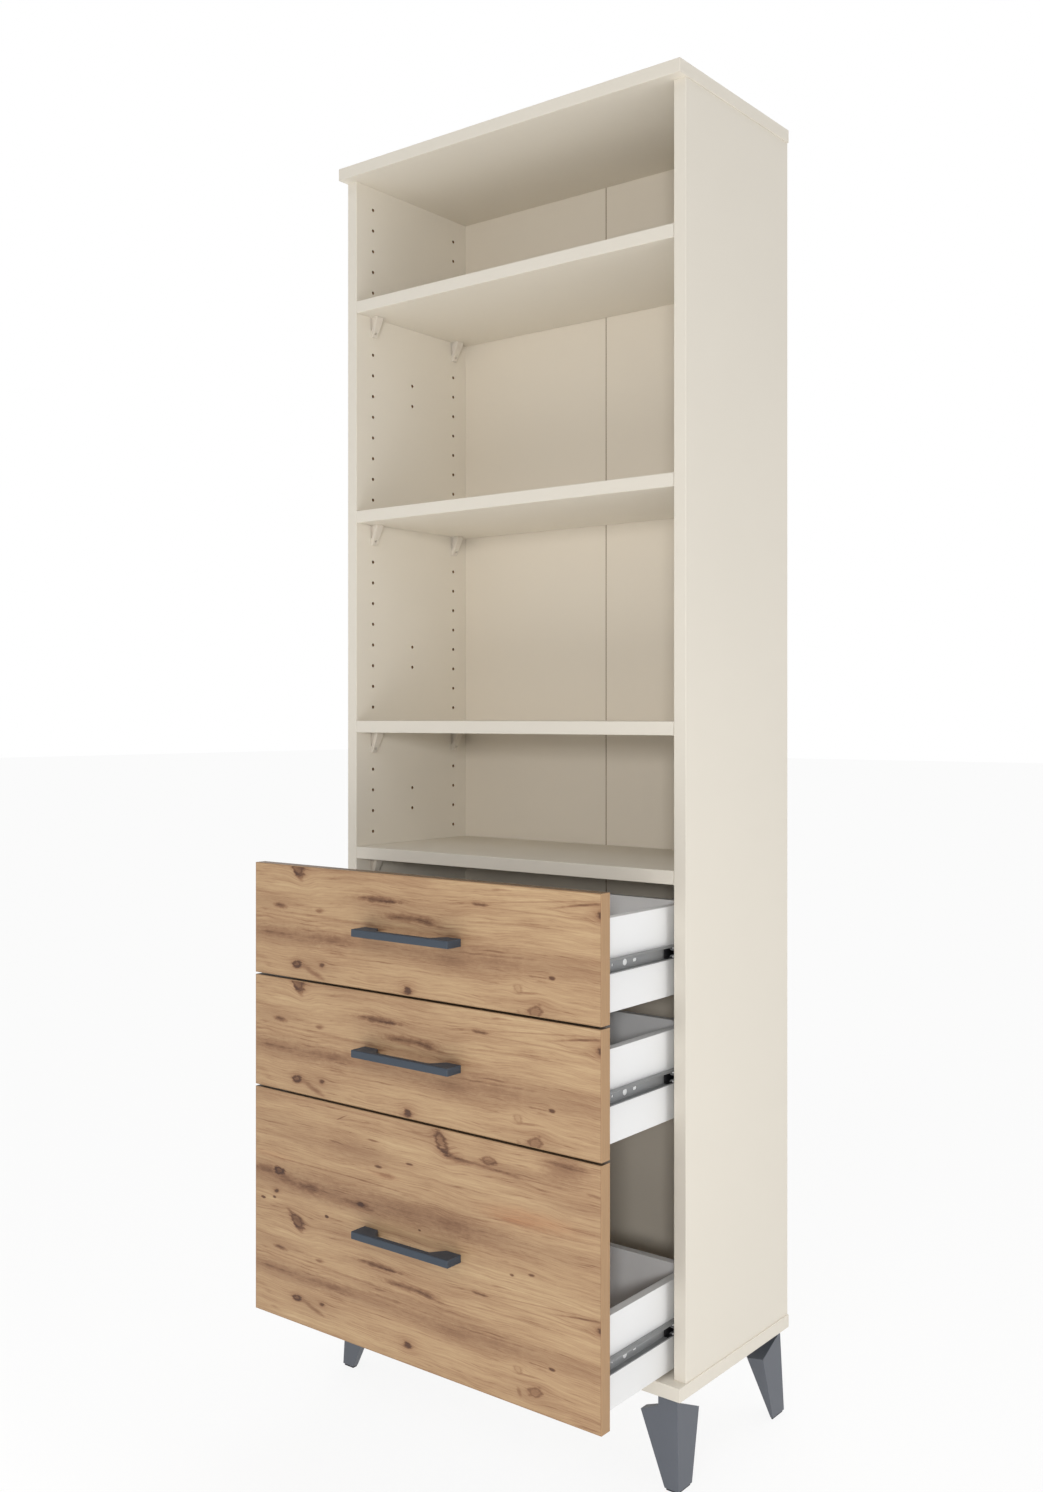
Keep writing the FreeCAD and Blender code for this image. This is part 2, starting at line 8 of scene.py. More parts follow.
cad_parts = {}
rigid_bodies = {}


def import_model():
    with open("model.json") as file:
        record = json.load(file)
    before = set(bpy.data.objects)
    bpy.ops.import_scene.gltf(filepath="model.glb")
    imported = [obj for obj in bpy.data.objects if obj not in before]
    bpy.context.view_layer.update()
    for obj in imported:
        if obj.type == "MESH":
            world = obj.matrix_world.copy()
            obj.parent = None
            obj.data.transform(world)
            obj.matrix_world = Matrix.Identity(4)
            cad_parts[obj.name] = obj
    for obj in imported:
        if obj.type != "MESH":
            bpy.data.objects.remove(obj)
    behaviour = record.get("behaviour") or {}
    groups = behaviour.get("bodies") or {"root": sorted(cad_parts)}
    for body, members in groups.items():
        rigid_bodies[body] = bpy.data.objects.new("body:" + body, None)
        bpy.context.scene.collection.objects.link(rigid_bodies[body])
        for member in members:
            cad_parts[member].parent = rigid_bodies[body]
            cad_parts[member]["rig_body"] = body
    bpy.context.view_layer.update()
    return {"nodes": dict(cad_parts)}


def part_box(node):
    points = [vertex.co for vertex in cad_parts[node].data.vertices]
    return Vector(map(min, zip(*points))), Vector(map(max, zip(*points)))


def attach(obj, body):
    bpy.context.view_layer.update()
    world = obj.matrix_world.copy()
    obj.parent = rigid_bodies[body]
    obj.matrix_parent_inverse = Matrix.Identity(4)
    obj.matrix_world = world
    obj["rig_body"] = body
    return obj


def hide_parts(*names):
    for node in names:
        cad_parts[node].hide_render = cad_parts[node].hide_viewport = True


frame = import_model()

bl_info = {
    "name": "Bookcase with bottom drawers",
    "version": (1, 0, 0),
    "blender": (4, 5, 0),
    "location": "3D View > Sidebar > Bookcase",
    "description": "Boards, wood-decor fronts, slides, handles, feet and stage of a tall bookcase",
    "category": "Object",
}

MM = 0.001
ZERO = (0.0, 0.0, 0.0)
ONE = (1.0, 1.0, 1.0)

# Places in the bookcase's own frame, metres: X = 0 in the middle of the width, Z = 0 the floor.
side_low, side_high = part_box("right_side_panel")
SIDE_INNER = side_low.x
SIDE_MIDDLE = (side_low.x + side_high.x) / 2
FRONT_EDGE = side_low.y
BOTH = (-1, 1)     # left and right, down and up, front and rear
PANELS = (("top_panel", 1), ("bottom_panel", -1))     # and which way is out
DRAWERS = ("upper", "middle", "lower")
SHELVES = ("shelf_upper", "shelf_middle", "shelf_lower", "shelf_over_drawers")


def mid_height(node):
    low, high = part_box(node)
    return (low.z + high.z) / 2


def srgb(red, green, blue):
    """Linear colour from the 0-255 values that a screen shows."""
    return tuple(((v / 255 + 0.055) / 1.055) ** 2.4 if v > 10 else v / 3294.6 for v in (red, green, blue))


def length(name, description, millimetres):
    return bpy.props.FloatProperty(name=name, description=description, default=millimetres * MM, min=0.0,
                                   precision=5, unit="LENGTH", subtype="DISTANCE")


def colour(name, description, red, green, blue):
    return bpy.props.FloatVectorProperty(name=name, description=description, subtype="COLOR", size=3,
                                         min=0.0, max=1.0, default=srgb(red, green, blue))


def share(name, description, value, high=1.0):
    return bpy.props.FloatProperty(name=name, description=description, default=value, min=0.0, max=high)


# ------------------------------------------------------------------ settings
class BoardSettings(bpy.types.PropertyGroup):
    carcass: colour("Carcass", "Melamine face of sides, panels and shelves", 229, 222, 209)
    # Painted shade: the factor by which the carcass boards' forward-facing faces, their front edging, are
    # darkened below the tone of their other faces.
    edging: share("Edging", "Brightness of the boards' front edging beside their faces", 0.92)
    # Partly the back board's own tone, partly painted shade: a little darker and warmer than the carcass, as
    # the inside of the carcass looks in shade.
    back: colour("Back", "Lacquered face of the thin back board", 226, 217, 202)
    box: colour("Drawer box", "Melamine face of the drawer boxes", 238, 238, 238)
    edge_round: length("Edge round", "Radius along the edging of the boards", 0.8)
    butt_round: length("Butt edge", "Radius left on ends that meet another board", 0.1)
    box_round: length("Box edge round", "Radius on the edges of the drawer boxes", 0.5)
    seam_round: length("Back seam round", "Radius on the edges of the back board", 0.7)
    core: colour("Board core", "Chips and fibres where a board is cut", 132, 100, 68)
    pin_hole: length("Pin hole", "Diameter of the shelf-pin holes", 5.0)
    pin_reach: length("Pin hole depth", "Depth of the shelf-pin holes", 12.0)
    pin_pitch: length("Pin pitch", "Distance between two pin holes in a column", 32.0)
    lowest_pin: length("Lowest pin", "Floor to the lowest row of pin holes", 748.0)
    pin_rows: bpy.props.IntProperty(name="Pin rows", description="Holes in one column", default=33, min=1)
    front_setback: length("Front column", "Front edge to the front column of holes", 37.0)
    rear_setback: length("Rear column", "Front edge to the rear column of holes", 229.0)
    fixing_setback: length("Fixing column", "Front edge to the pairs of fixing holes", 128.0)


class DecorSettings(bpy.types.PropertyGroup):
    face: colour("Edging", "Plain edging round the drawer fronts", 170, 136, 100)
    face_round: length("Front edge round", "Radius on the edges of the drawer fronts", 0.45)
    band: length("Edging thickness", "Face seen of the edging on a front", 1.0)
    contrast: share("Grain contrast", "How strongly the grain of the decor shows", 1.2, 3.0)
    cloudiness: share("Clouds", "How strongly the purple-brown clouds of the decor show", 1.0, 3.0)


class MetalSettings(bpy.types.PropertyGroup):
    slide: colour("Slide", "Zinc-plated sheet of the slides", 150, 151, 152)
    screw: colour("Screws", "Bright screw heads and balls", 232, 232, 232)
    cam: colour("Cams", "Die-cast cam locks", 176, 178, 180)
    handle: colour("Handle", "Powder coat of the handles", 66, 74, 84)
    handle_round: length("Handle edge round", "Radius on the edges of the handles", 0.5)
    sheet: length("Slide sheet", "Thickness of the slides' sheet", 1.0)
    ball: length("Ball", "Diameter of the balls in the slides", 3.0)


class PlasticSettings(bpy.types.PropertyGroup):
    foot: colour("Feet", "Moulded plastic of the feet", 92, 96, 104)
    glide: colour("Glides", "Soft pads under the feet", 46, 46, 48)
    support: colour("Supports", "Moulded shelf supports", 216, 208, 196)
    cage: colour("Cages", "Moulded ball cages", 22, 22, 24)
    tape: colour("Tape", "Tape over the back board's seam", 214, 207, 194)
    foot_round: length("Foot edge round", "Radius on the edges of the feet", 1.0)
    support_round: length("Support edge round", "Radius on the edges of the shelf supports", 0.5)


class StageSettings(bpy.types.PropertyGroup):
    floor: colour("Floor", "Plain pale floor", 248, 248, 247)
    floor_glow: share("Floor glow", "How much of the floor seen by the camera is plain white", 0.88)
    sky: share("Sky light", "Strength of the even light from all round", 0.41, 4.0)
    high_front: share("High front light", "Strength of the light from high up in front", 0.32, 20.0)
    high_back: share("High back light", "Strength of the soft light from high up behind", 1.0, 20.0)
    front: share("Front panel", "Watts of the lamp panel in front, at the right", 40.0, 900.0)
    low: share("Low panel", "Watts of the low lamp panel beside the right-hand side", 4.8, 900.0)
    floor_fill: share("Floor fill", "Watts of the panel that lights the floor in front", 14.0, 900.0)
    lens: bpy.props.FloatProperty(name="Lens", description="Focal length in millimetres", default=35.035)


# ------------------------------------------------------------------ building trees
class Value:
    """What a node gives; arithmetic on it adds Math nodes."""

    def __init__(self, nodes, socket):
        self.nodes = nodes
        self.socket = socket

    def __radd__(self, other):
        return self.nodes.maths("ADD", other, self)

    def __sub__(self, other):
        return self.nodes.maths("SUBTRACT", self, other)

    def __rsub__(self, other):
        return self.nodes.maths("SUBTRACT", other, self)

    def __mul__(self, other):
        return self.nodes.maths("MULTIPLY", self, other)

    def __abs__(self):
        return self.nodes.maths("ABSOLUTE", self)

    def times(self, factor, plus):
        return self.nodes.maths("MULTIPLY_ADD", self, factor, plus)

    def at_least(self, other):
        return self.nodes.maths("MAXIMUM", self, other)

    def at_most(self, other):
        return self.nodes.maths("MINIMUM", self, other)


class Nodes:
    """Adds linked nodes to one tree; a number, a colour or another node's value may feed any input."""

    def __init__(self, tree):
        self.tree = tree

    def feed(self, socket, value):
        if isinstance(value, Value):
            self.tree.links.new(value.socket, socket)
        elif value is not None:
            socket.default_value = (*value[:3], 1.0) if socket.type == "RGBA" else value

    def add(self, kind, inputs=None, **settings):
        node = self.tree.nodes.new(kind)
        for name, value in settings.items():
            setattr(node, name, value)
        for key, value in (inputs or {}).items():
            self.feed(node.inputs[key], value)
        return node

    def value(self, output, kind, inputs=None, **settings):
        """One output of a new node, by its name or number."""
        return Value(self, self.add(kind, inputs, **settings).outputs[output])

    def values(self, kind, inputs=None, **settings):
        """All outputs of a new node by name."""
        node = self.add(kind, inputs, **settings)
        return {socket.name: Value(self, socket) for socket in node.outputs}

    def maths(self, operation, *values):
        return self.value(0, "ShaderNodeMath", dict(enumerate(values)), operation=operation)

    def vector(self, operation, *values):
        output = "Value" if operation in ("LENGTH", "DOT_PRODUCT") else "Vector"
        return self.value(output, "ShaderNodeVectorMath", dict(enumerate(values)), operation=operation)

    def mix(self, factor, first, second, blend="MIX"):
        return self.value(2, "ShaderNodeMix", {0: factor, 6: first, 7: second}, data_type="RGBA",
                          blend_type=blend)

    def remap(self, value, low, high, to_low=0.0, to_high=1.0, smooth=True):
        return self.value(0, "ShaderNodeMapRange", {0: value, 1: low, 2: high, 3: to_low, 4: to_high},
                          interpolation_type="SMOOTHSTEP" if smooth else "LINEAR")

    def noise(self, place, scale, detail=2.0, roughness=0.5):
        return self.value("Fac", "ShaderNodeTexNoise", {"Vector": place, "Scale": scale, "Detail": detail,
                                                        "Roughness": roughness})

    def stretched_noise(self, place, scales, detail, roughness=0.5):
        """Noise with its own scale along each axis."""
        return self.noise(self.vector("MULTIPLY", place, scales), 1.0, detail, roughness)

    def ramp(self, value, stops):
        node = self.add("ShaderNodeValToRGB", {"Fac": value})
        marks = node.color_ramp.elements
        while len(marks) < len(stops):
            marks.new(0.5)
        for mark, (position, tone) in zip(marks, stops):
            mark.position = position
            mark.color = (*srgb(*tone), 1.0)
        return Value(self, node.outputs["Color"])

    def apart(self, place):
        return list(self.values("ShaderNodeSeparateXYZ", {0: place}).values())

    def together(self, x, y, z=0.0):
        return self.value(0, "ShaderNodeCombineXYZ", {0: x, 1: y, 2: z})

    def group(self, tree, inputs):
        return self.values("ShaderNodeGroup", inputs, node_tree=tree)

    def own_place(self):
        return self.value("Object", "ShaderNodeTexCoord")

    def shaded(self, tone, shade):
        """A colour made lighter or darker."""
        return self.mix(1.0, tone, self.together(shade, shade, shade), "MULTIPLY")

    def dress(self, shader, tone, roughness, height, depth, strength, specular=0.5, metallic=0.0):
        """Give a shader its colour, sheen and bump."""
        normal = self.value("Normal", "ShaderNodeBump", {"Strength": strength, "Distance": depth,
                                                         "Height": height})
        for name, value in (("Base Color", tone), ("Roughness", roughness), ("Normal", normal),
                            ("Specular IOR Level", specular), ("Metallic", metallic)):
            self.feed(shader.inputs[name], value)


OUTPUT_KINDS = {"Colour": "Color", "Grain": "Vector"}     # all others are floats
SKIN = ("Shade", "Roughness", "Height")


def shader_group(name, inputs, outputs):
    """Make a function that adds nodes into one that gives the shader node group, built once."""
    def wrap(build):
        def group_tree():
            tree = bpy.data.node_groups.get(name)
            if tree:
                return tree
            tree = bpy.data.node_groups.new(name, "ShaderNodeTree")
            for label, default in inputs.items():
                kind = "Vector" if isinstance(default, tuple) else "Float"
                socket = tree.interface.new_socket(name=label, in_out="INPUT",
                                                   socket_type="NodeSocket" + kind)
                socket.default_value = default
            for label in outputs:
                tree.interface.new_socket(name=label, in_out="OUTPUT",
                                          socket_type="NodeSocket" + OUTPUT_KINDS.get(label, "Float"))
            nodes = Nodes(tree)
            given = nodes.values("NodeGroupInput")
            made = build(nodes, *(given[label] for label in inputs))
            nodes.add("NodeGroupOutput", dict(enumerate(made)))
            return tree
        return group_tree
    return wrap


# ------------------------------------------------------------------ shared effects
@shader_group("Melamine skin", {"Place": ZERO, "Unevenness": 0.05, "Roughness": 0.4,
                                "Pearls per metre": 1400.0}, SKIN)
def melamine_skin(nodes, place, unevenness, roughness, pearls):
    """Printed and pressed face of a coated board: cloudy tone, pearly press texture, uneven sheen."""
    cloud = nodes.noise(place, 2.6, 3.0) - 0.5
    speck = nodes.noise(place, 900.0, 1.0) - 0.5
    shade = speck.times(0.35, plus=cloud).times(unevenness, plus=1.0)
    sheen = nodes.noise(place, 14.0, 3.0).times(0.1, plus=roughness)
    return shade, sheen, nodes.noise(place, pearls, 2.0, 0.6)


@shader_group("Moulded skin", {"Place": ZERO, "Unevenness": 0.12, "Roughness": 0.4,
                               "Grains per metre": 2200.0}, SKIN)
def moulded_skin(nodes, place, unevenness, roughness, grains):
    """Eroded texture of moulded plastic or powder coat, with handling gloss in soft patches."""
    grain = nodes.noise(place, grains, 2.0, 0.65)
    patch = nodes.noise(place, 28.0, 3.0)
    shade = (patch - 0.5).times(unevenness, plus=1.0)
    shade = (grain - 0.5).times(0.16, plus=shade)
    return shade, patch.times(0.14, plus=roughness), grain


@shader_group("Drawn grain", {"Place": ZERO, "Lines per metre": (3000.0, 60.0, 3000.0),
                              "Roughness": 0.22}, SKIN)
def drawn_grain(nodes, place, per_metre, roughness):
    """Fine lines that rolling and drawing leave along sheet metal."""
    lines = nodes.stretched_noise(place, per_metre, 3.0, 0.6)
    patch = nodes.noise(place, 40.0, 2.0)
    shade = (lines - 0.5).times(0.3, plus=1.0)
    shade = (patch - 0.5).times(0.2, plus=shade)
    return shade, lines.times(0.22, plus=roughness), lines


@shader_group("Rubbed edge", {"Place": ZERO, "Width": 0.6 * MM}, ("Edge",))
def rubbed_edge(nodes, place, width):
    """Mask of the outermost edges, broken up as handling leaves them."""
    rounded = nodes.value("Normal", "ShaderNodeBevel", {"Radius": width}, samples=4)
    flat = nodes.value("True Normal", "ShaderNodeNewGeometry")
    edge = nodes.remap(nodes.vector("DOT_PRODUCT", rounded, flat), 0.998, 0.93)
    return (edge * nodes.remap(nodes.noise(place, 160.0, 3.0), 0.35, 0.65),)


# The decor sheet, millimetres: from the left end of a front, and down from the sheet's top.
# Knots: along, down, length, height, turn in degrees, ring (0 a dark heart, 1 a hollow ring), strength.
KNOTS = (
    (49, 112, 20, 10, 0, 0.95, 0.62), (86, 176, 28, 15, 26, 0.75, 0.60), (43, 142, 12, 7, -8, 0.1, 0.62),
    (208, 127, 16, 7, 8, 0.2, 0.60), (349, 17, 30, 17, 52, 0.9, 0.48), (428, 26, 24, 10, 0, 0.8, 0.42),
    (598, 194, 20, 9, 0, 0.2, 0.66), (84, 283, 16, 8, -6, 0.9, 0.60), (134, 280, 11, 6, 4, 0.2, 0.55),
    (292, 293, 16, 10, 5, 0.15, 0.62), (474, 274, 14, 8, 0, 0.9, 0.22), (500, 294, 22, 12, -15, 0.8, 0.40),
    (113, 167, 16, 9, 20, 0.95, 0.0),
)
# Flecks: along, down, length, height, turn in degrees, softness, strength.
FLECKS = (
    (39, 151, 6, 3.5, 0, 0.5, 0.50), (16, 156, 8, 3.5, 0, 0.5, 0.50), (143, 157, 7, 4, 0, 0.5, 0.48),
    (296, 56, 11, 2.6, 0, 0.6, 0.42), (240, 70, 13, 3.2, 0, 0.6, 0.44), (253, 79, 32, 5, 0, 0.8, 0.26),
    (230, 37, 20, 2.6, 0, 0.8, 0.30), (313, 138, 5, 2.6, 0, 0.5, 0.46), (495, 153, 10, 3, -4, 0.6, 0.44),
    (465, 160, 7, 3.2, 0, 0.5, 0.44), (236, 202, 66, 5.5, 0, 0.8, 0.34), (262, 203, 30, 2.5, 0, 0.7, 0.22),
    (296, 218, 84, 7, 0, 0.9, 0.26), (330, 221, 40, 4, 4, 0.8, 0.20), (270, 219, 34, 3, -3, 0.8, 0.18),
    (416, 196, 24, 2.4, 0, 0.7, 0.34), (51, 220, 22, 5, 3, 0.8, 0.34), (130, 221, 14, 4, -3, 0.8, 0.28),
    (119, 290, 34, 6, 16, 0.9, 0.26), (526, 259, 9, 4, 0, 0.5, 0.46), (503, 260, 34, 1.4, 0, 0.8, 0.22),
    (171, 17, 17, 1.6, -26, 0.8, 0.32), (370, 33, 40, 9, 6, 0.9, 0.24), (405, 34, 70, 3, 2, 0.9, 0.20),
    (458, 37, 36, 4, 2, 0.9, 0.20), (540, 16, 50, 20, -6, 1.0, 0.14), (560, 10, 70, 4, 0, 0.9, 0.12),
    (100, 94, 130, 1.6, 0, 0.9, 0.16), (220, 94, 120, 1.8, 1, 0.9, 0.20), (512, 38, 60, 1.6, 0, 0.9, 0.14),
    (34, 46, 50, 1.8, 0, 0.9, 0.14), (105, 39, 40, 1.6, 0, 0.9, 0.16), (460, 212, 190, 2.0, -2, 0.9, 0.14),
    (500, 188, 190, 1.4, -4, 0.9, 0.18), (500, 199, 190, 1.4, 1, 0.9, 0.14),
    (560, 188, 70, 2.0, -7, 0.9, 0.18), (20, 113, 46, 10, 0, 0.9, 0.20), (62, 120, 40, 12, 10, 1.0, 0.16),
    (110, 124, 34, 12, 0, 1.0, 0.18), (200, 128, 44, 6, 0, 0.9, 0.18), (370, 122, 50, 14, 4, 1.0, 0.12),
    (88, 186, 16, 5, 30, 0.8, 0.24), (72, 165, 14, 4, 24, 0.8, 0.24), (150, 228, 220, 3, 1, 0.9, 0.12),
    (70, 232, 130, 2, 2, 0.9, 0.12), (260, 241, 60, 3, 1, 0.9, 0.16), (430, 245, 120, 2, -1, 0.9, 0.12),
    (40, 250, 70, 9, 0, 1.0, 0.14), (150, 251, 60, 8, 0, 1.0, 0.12), (372, 256, 50, 10, 0, 1.0, 0.10),
    (476, 300, 10, 5, 60, 0.8, 0.18), (290, 13, 90, 2, 1, 0.9, 0.10), (150, 6, 200, 2, 0, 0.9, 0.12),
    (480, 94, 130, 5, 0, 1.0, 0.08), (560, 84, 60, 2, 0, 0.9, 0.14), (592, 38, 26, 3, 4, 0.8, 0.18),
    (575, 186, 50, 2, -6, 0.9, 0.16),
)
# Clouds of purple-brown, and of warmer light wood: along, down, length, height, strength.
PURPLE = (
    (60, 122, 190, 32, 0.52), (210, 124, 210, 30, 0.50), (340, 119, 190, 32, 0.48), (440, 124, 150, 24, 0.26),
    (560, 118, 140, 18, 0.14), (60, 252, 170, 22, 0.50), (210, 252, 190, 18, 0.38), (390, 254, 150, 26, 0.46),
    (520, 248, 170, 22, 0.34), (204, 57, 100, 24, 0.40), (60, 42, 120, 20, 0.16), (90, 60, 140, 16, 0.16),
    (544, 16, 60, 32, 0.34), (450, 34, 150, 14, 0.28), (20, 8, 60, 18, 0.22), (330, 9, 60, 18, 0.22),
    (170, 100, 180, 12, 0.18), (300, 236, 260, 14, 0.24), (180, 172, 90, 26, 0.22), (120, 286, 90, 26, 0.26),
    (240, 205, 120, 14, 0.24), (40, 218, 90, 14, 0.24), (560, 60, 90, 14, 0.14), (500, 300, 80, 20, 0.20),
)
GOLDEN = (
    (160, 302, 170, 22, 0.5), (120, 26, 130, 16, 0.35), (520, 176, 170, 36, 0.55), (290, 34, 110, 22, 0.45),
    (400, 170, 150, 26, 0.40), (300, 90, 90, 22, 0.45), (420, 60, 170, 22, 0.35), (60, 196, 140, 16, 0.40),
    (330, 290, 160, 30, 0.40), (420, 216, 140, 14, 0.45), (480, 12, 70, 16, 0.35), (40, 72, 100, 12, 0.35),
    (560, 222, 90, 20, 0.40), (150, 146, 110, 14, 0.35), (30, 150, 70, 14, 0.25),
)
REDDISH = ((492, 86, 120, 20, 0.55), (470, 92, 60, 10, 0.3), (30, 92, 80, 8, 0.25), (250, 80, 50, 8, 0.25))
CLOUD_SOFTNESS = 0.8
# Where a front's top edge lies on the sheet, and how far down the sheet one millimetre of the front goes.
SHEET_PLACES = {"upper": (174.1, 0.792), "middle": (174.1, 0.792), "lower": (0.0, 1.0)}

# Figures of the decor: repeats per millimetre along and down, detail, roughness of the noise.
FIGURES = {
    "ragged": (0.09, 0.22, 3.0, 0.6),       # rims of knots and flecks
    "sway": (0.007, 0.017, 2.0, 0.5),       # the grain's long bends
    "ripple": (0.03, 0.06, 1.0, 0.5),       # and its short ones
    "bands": (0.0045, 0.07, 5.0, 0.62),
    "streaks": (0.009, 0.42, 4.0, 0.65),
    "fibres": (0.045, 1.7, 3.0, 0.6),
    "pores": (0.11, 2.6, 1.0, 0.5),
    "veins": (0.009, 0.8, 2.0, 0.5),
    "breaks": (0.02, 0.12, 2.0, 0.5),       # where veins fade
    "dashes": (0.015, 0.27, 3.0, 0.6),
}
WOOD_TONES = (
    (0.00, (80, 53, 40)), (0.18, (106, 74, 52)), (0.34, (139, 103, 75)), (0.48, (163, 128, 96)),
    (0.60, (179, 147, 112)), (0.74, (191, 161, 124)), (0.88, (201, 174, 137)), (1.00, (212, 189, 154)),
)
MIDDLE_TONE = 0.58
KNOT_STRENGTH = 0.74
KNOT_ASIDE = 0.75         # how far the grain goes round a knot

OVAL = {"Place": ZERO, "Centre": ZERO, "Size": (10.0, 10.0, 1.0), "Turn": 0.0, "Strength": 0.5,
        "Wobble": 0.0}


def oval(along, down, wide, high, turn):
    return {"Centre": (along, down, 0.0), "Size": (wide / 2, high / 2, 1.0), "Turn": math.radians(turn)}


def oval_reach(nodes, place, centre, size, turn):
    """Offset from an oval's centre, and its length, which is 1 on the oval's rim."""
    offset = nodes.vector("SUBTRACT", place, centre)
    turned = nodes.value("Vector", "ShaderNodeVectorRotate", {"Vector": offset, "Angle": turn},
                         rotation_type="Z_AXIS", invert=True)
    return offset, nodes.vector("LENGTH", nodes.vector("DIVIDE", turned, size))


@shader_group("Knot", {**OVAL, "Grain": ZERO, "Dark": 0.0, "Ring": 0.5}, ("Grain", "Dark"))
def knot(nodes, place, centre, size, turn, strength, wobble, grain, dark, ring):
    """One knot: turns the grain aside and adds its dark ring or heart."""
    offset, reach = oval_reach(nodes, place, centre, size, turn)
    rough = wobble.times(0.75, plus=reach)
    rim = rough - 0.78
    rim = nodes.maths("EXPONENT", rim * rim * -9.0) * ring
    heart = nodes.remap(rough, 1.05, 0.35) * ring.times(-0.75, plus=1.0)
    halo = nodes.maths("EXPONENT", reach * reach * -0.34)
    dark = halo.times(0.22, plus=rim.at_least(heart)).times(strength, plus=dark)
    aside = halo * nodes.apart(offset)[1] * KNOT_ASIDE
    return nodes.vector("SUBTRACT", grain, nodes.together(0.0, aside)), dark


@shader_group("Blot", {**OVAL, "Sum": 0.0, "Softness": 0.5}, ("Sum",))
def blot(nodes, place, centre, size, turn, strength, wobble, before, softness):
    """One fleck, streak or cloud: an oval of tone with a ragged edge, added to what is there."""
    reach = wobble.times(0.8, plus=oval_reach(nodes, place, centre, size, turn)[1])
    return (nodes.remap(reach, 1.0 + softness, 1.0 - softness).times(strength, plus=before),)


@shader_group("Oak decor", {"Place": ZERO, "Contrast": 1.0, "Clouds": 1.0},
              ("Colour", "Height", "Roughness"))
def oak_decor(nodes, place, contrast, cloudiness):
    """Knotty oak print of the drawer fronts, read by place on the sheet in millimetres."""
    def figure(name, where):
        along, down, detail, roughness = FIGURES[name]
        return nodes.stretched_noise(where, (along, down, 1.0), detail, roughness)

    def blots(rows, ragged):
        total = 0.0
        for *shape, softness, strength in rows:
            total = nodes.group(blot(), {**oval(*shape), "Place": place, "Sum": total, "Wobble": ragged,
                                         "Softness": softness, "Strength": strength})["Sum"]
        return total

    def clouds(rows):
        rows = [(*shape, 0.0, CLOUD_SOFTNESS, strength) for *shape, strength in rows]
        return blots(rows, wobble * 0.5) * lightly

    wobble = (figure("ragged", place) - 0.5) * 2.2
    lift = (figure("sway", place) - 0.5).times(15.0, plus=(figure("ripple", place) - 0.5) * 2.4)
    grain = nodes.vector("ADD", place, nodes.together(0.0, lift))
    dark = 0.0
    for *shape, ring, strength in KNOTS:
        made = nodes.group(knot(), {**oval(*shape), "Place": place, "Grain": grain, "Dark": dark,
                                    "Wobble": wobble, "Ring": ring, "Strength": KNOT_STRENGTH * strength})
        grain, dark = made["Grain"], made["Dark"]

    bands, streaks, fibres = (figure(name, grain) for name in ("bands", "streaks", "fibres"))
    pores = nodes.remap(figure("pores", grain), 0.62, 0.76)
    veins = nodes.remap(abs(figure("veins", grain) - 0.5), 0.03, 0.0)
    veins = veins * nodes.remap(figure("breaks", grain), 0.45, 0.7)
    dashes = nodes.remap(figure("dashes", grain), 0.57, 0.72)
    torn = streaks.times(2.0, plus=fibres.times(1.2, plus=-0.6))
    flecks = blots(FLECKS, wobble) * torn.at_least(0.0)
    dark = dark * torn.times(0.5, plus=0.5)
    lightly = streaks.times(2.6, plus=-0.3).at_least(0.0)
    purple = clouds(PURPLE) * cloudiness
    golden = clouds(GOLDEN)
    reddish = clouds(REDDISH)

    tone = MIDDLE_TONE
    for value, amount in ((bands, 0.38), (streaks, 0.42), (fibres, 0.26)):
        tone = ((value - 0.5) * amount).times(contrast, plus=tone)
    for value, amount in ((golden, 0.16), (purple, -0.16), (pores, -0.09), (veins, -0.14), (dashes, -0.17)):
        tone = value.times(amount, plus=tone)
    wood = nodes.ramp(tone - flecks - dark, WOOD_TONES)
    wood = nodes.mix(purple * 0.75, wood, srgb(204, 194, 194), "MULTIPLY")
    wood = nodes.mix(reddish * 0.8, wood, srgb(250, 218, 204), "MULTIPLY")
    height = dark.times(-0.4, plus=pores.times(-0.6, plus=fibres * 0.8))
    return wood, height, streaks.times(0.12, plus=0.44)


@shader_group("Front edging", {"Place": ZERO, "Low corner": ZERO, "High corner": ONE, "Band": 1.0 * MM},
              ("Face", "Glue line", "Level"))
def front_edging(nodes, place, low, high, band):
    """Parts the decor face of a drawer front from its edging, with the glue line between them; Level marks
    the top and bottom faces, which take painted shade.
    """
    across, low, high = (nodes.apart(corner) for corner in (place, low, high))
    gap = None
    for axis in (0, 2):
        for edge in (across[axis] - low[axis], high[axis] - across[axis]):
            gap = edge if gap is None else gap.at_most(edge)
    line = nodes.remap(abs(gap - band), 0.4 * MM, 0.1 * MM)
    inside = nodes.remap(gap - band, -0.1 * MM, 0.1 * MM)
    normal = nodes.apart(nodes.value("True Normal", "ShaderNodeNewGeometry"))
    # Painted shade: faces that point up or down are marked, so the edging in the gaps between the fronts is
    # darkened.
    flat, painted_gap_shade = (nodes.remap(abs(normal[axis]), 0.5, 0.9) for axis in (1, 2))
    return flat * inside, flat * line, painted_gap_shade


# ------------------------------------------------------------------ finishes
def finish(name, paint):
    """The material of that name; paint(nodes, shader) fills it the first time."""
    material = bpy.data.materials.get(name)
    if material is None:
        material = bpy.data.materials.new(name)
        material.use_nodes = True
        paint(Nodes(material.node_tree), material.node_tree.nodes["Principled BSDF"])
    return material


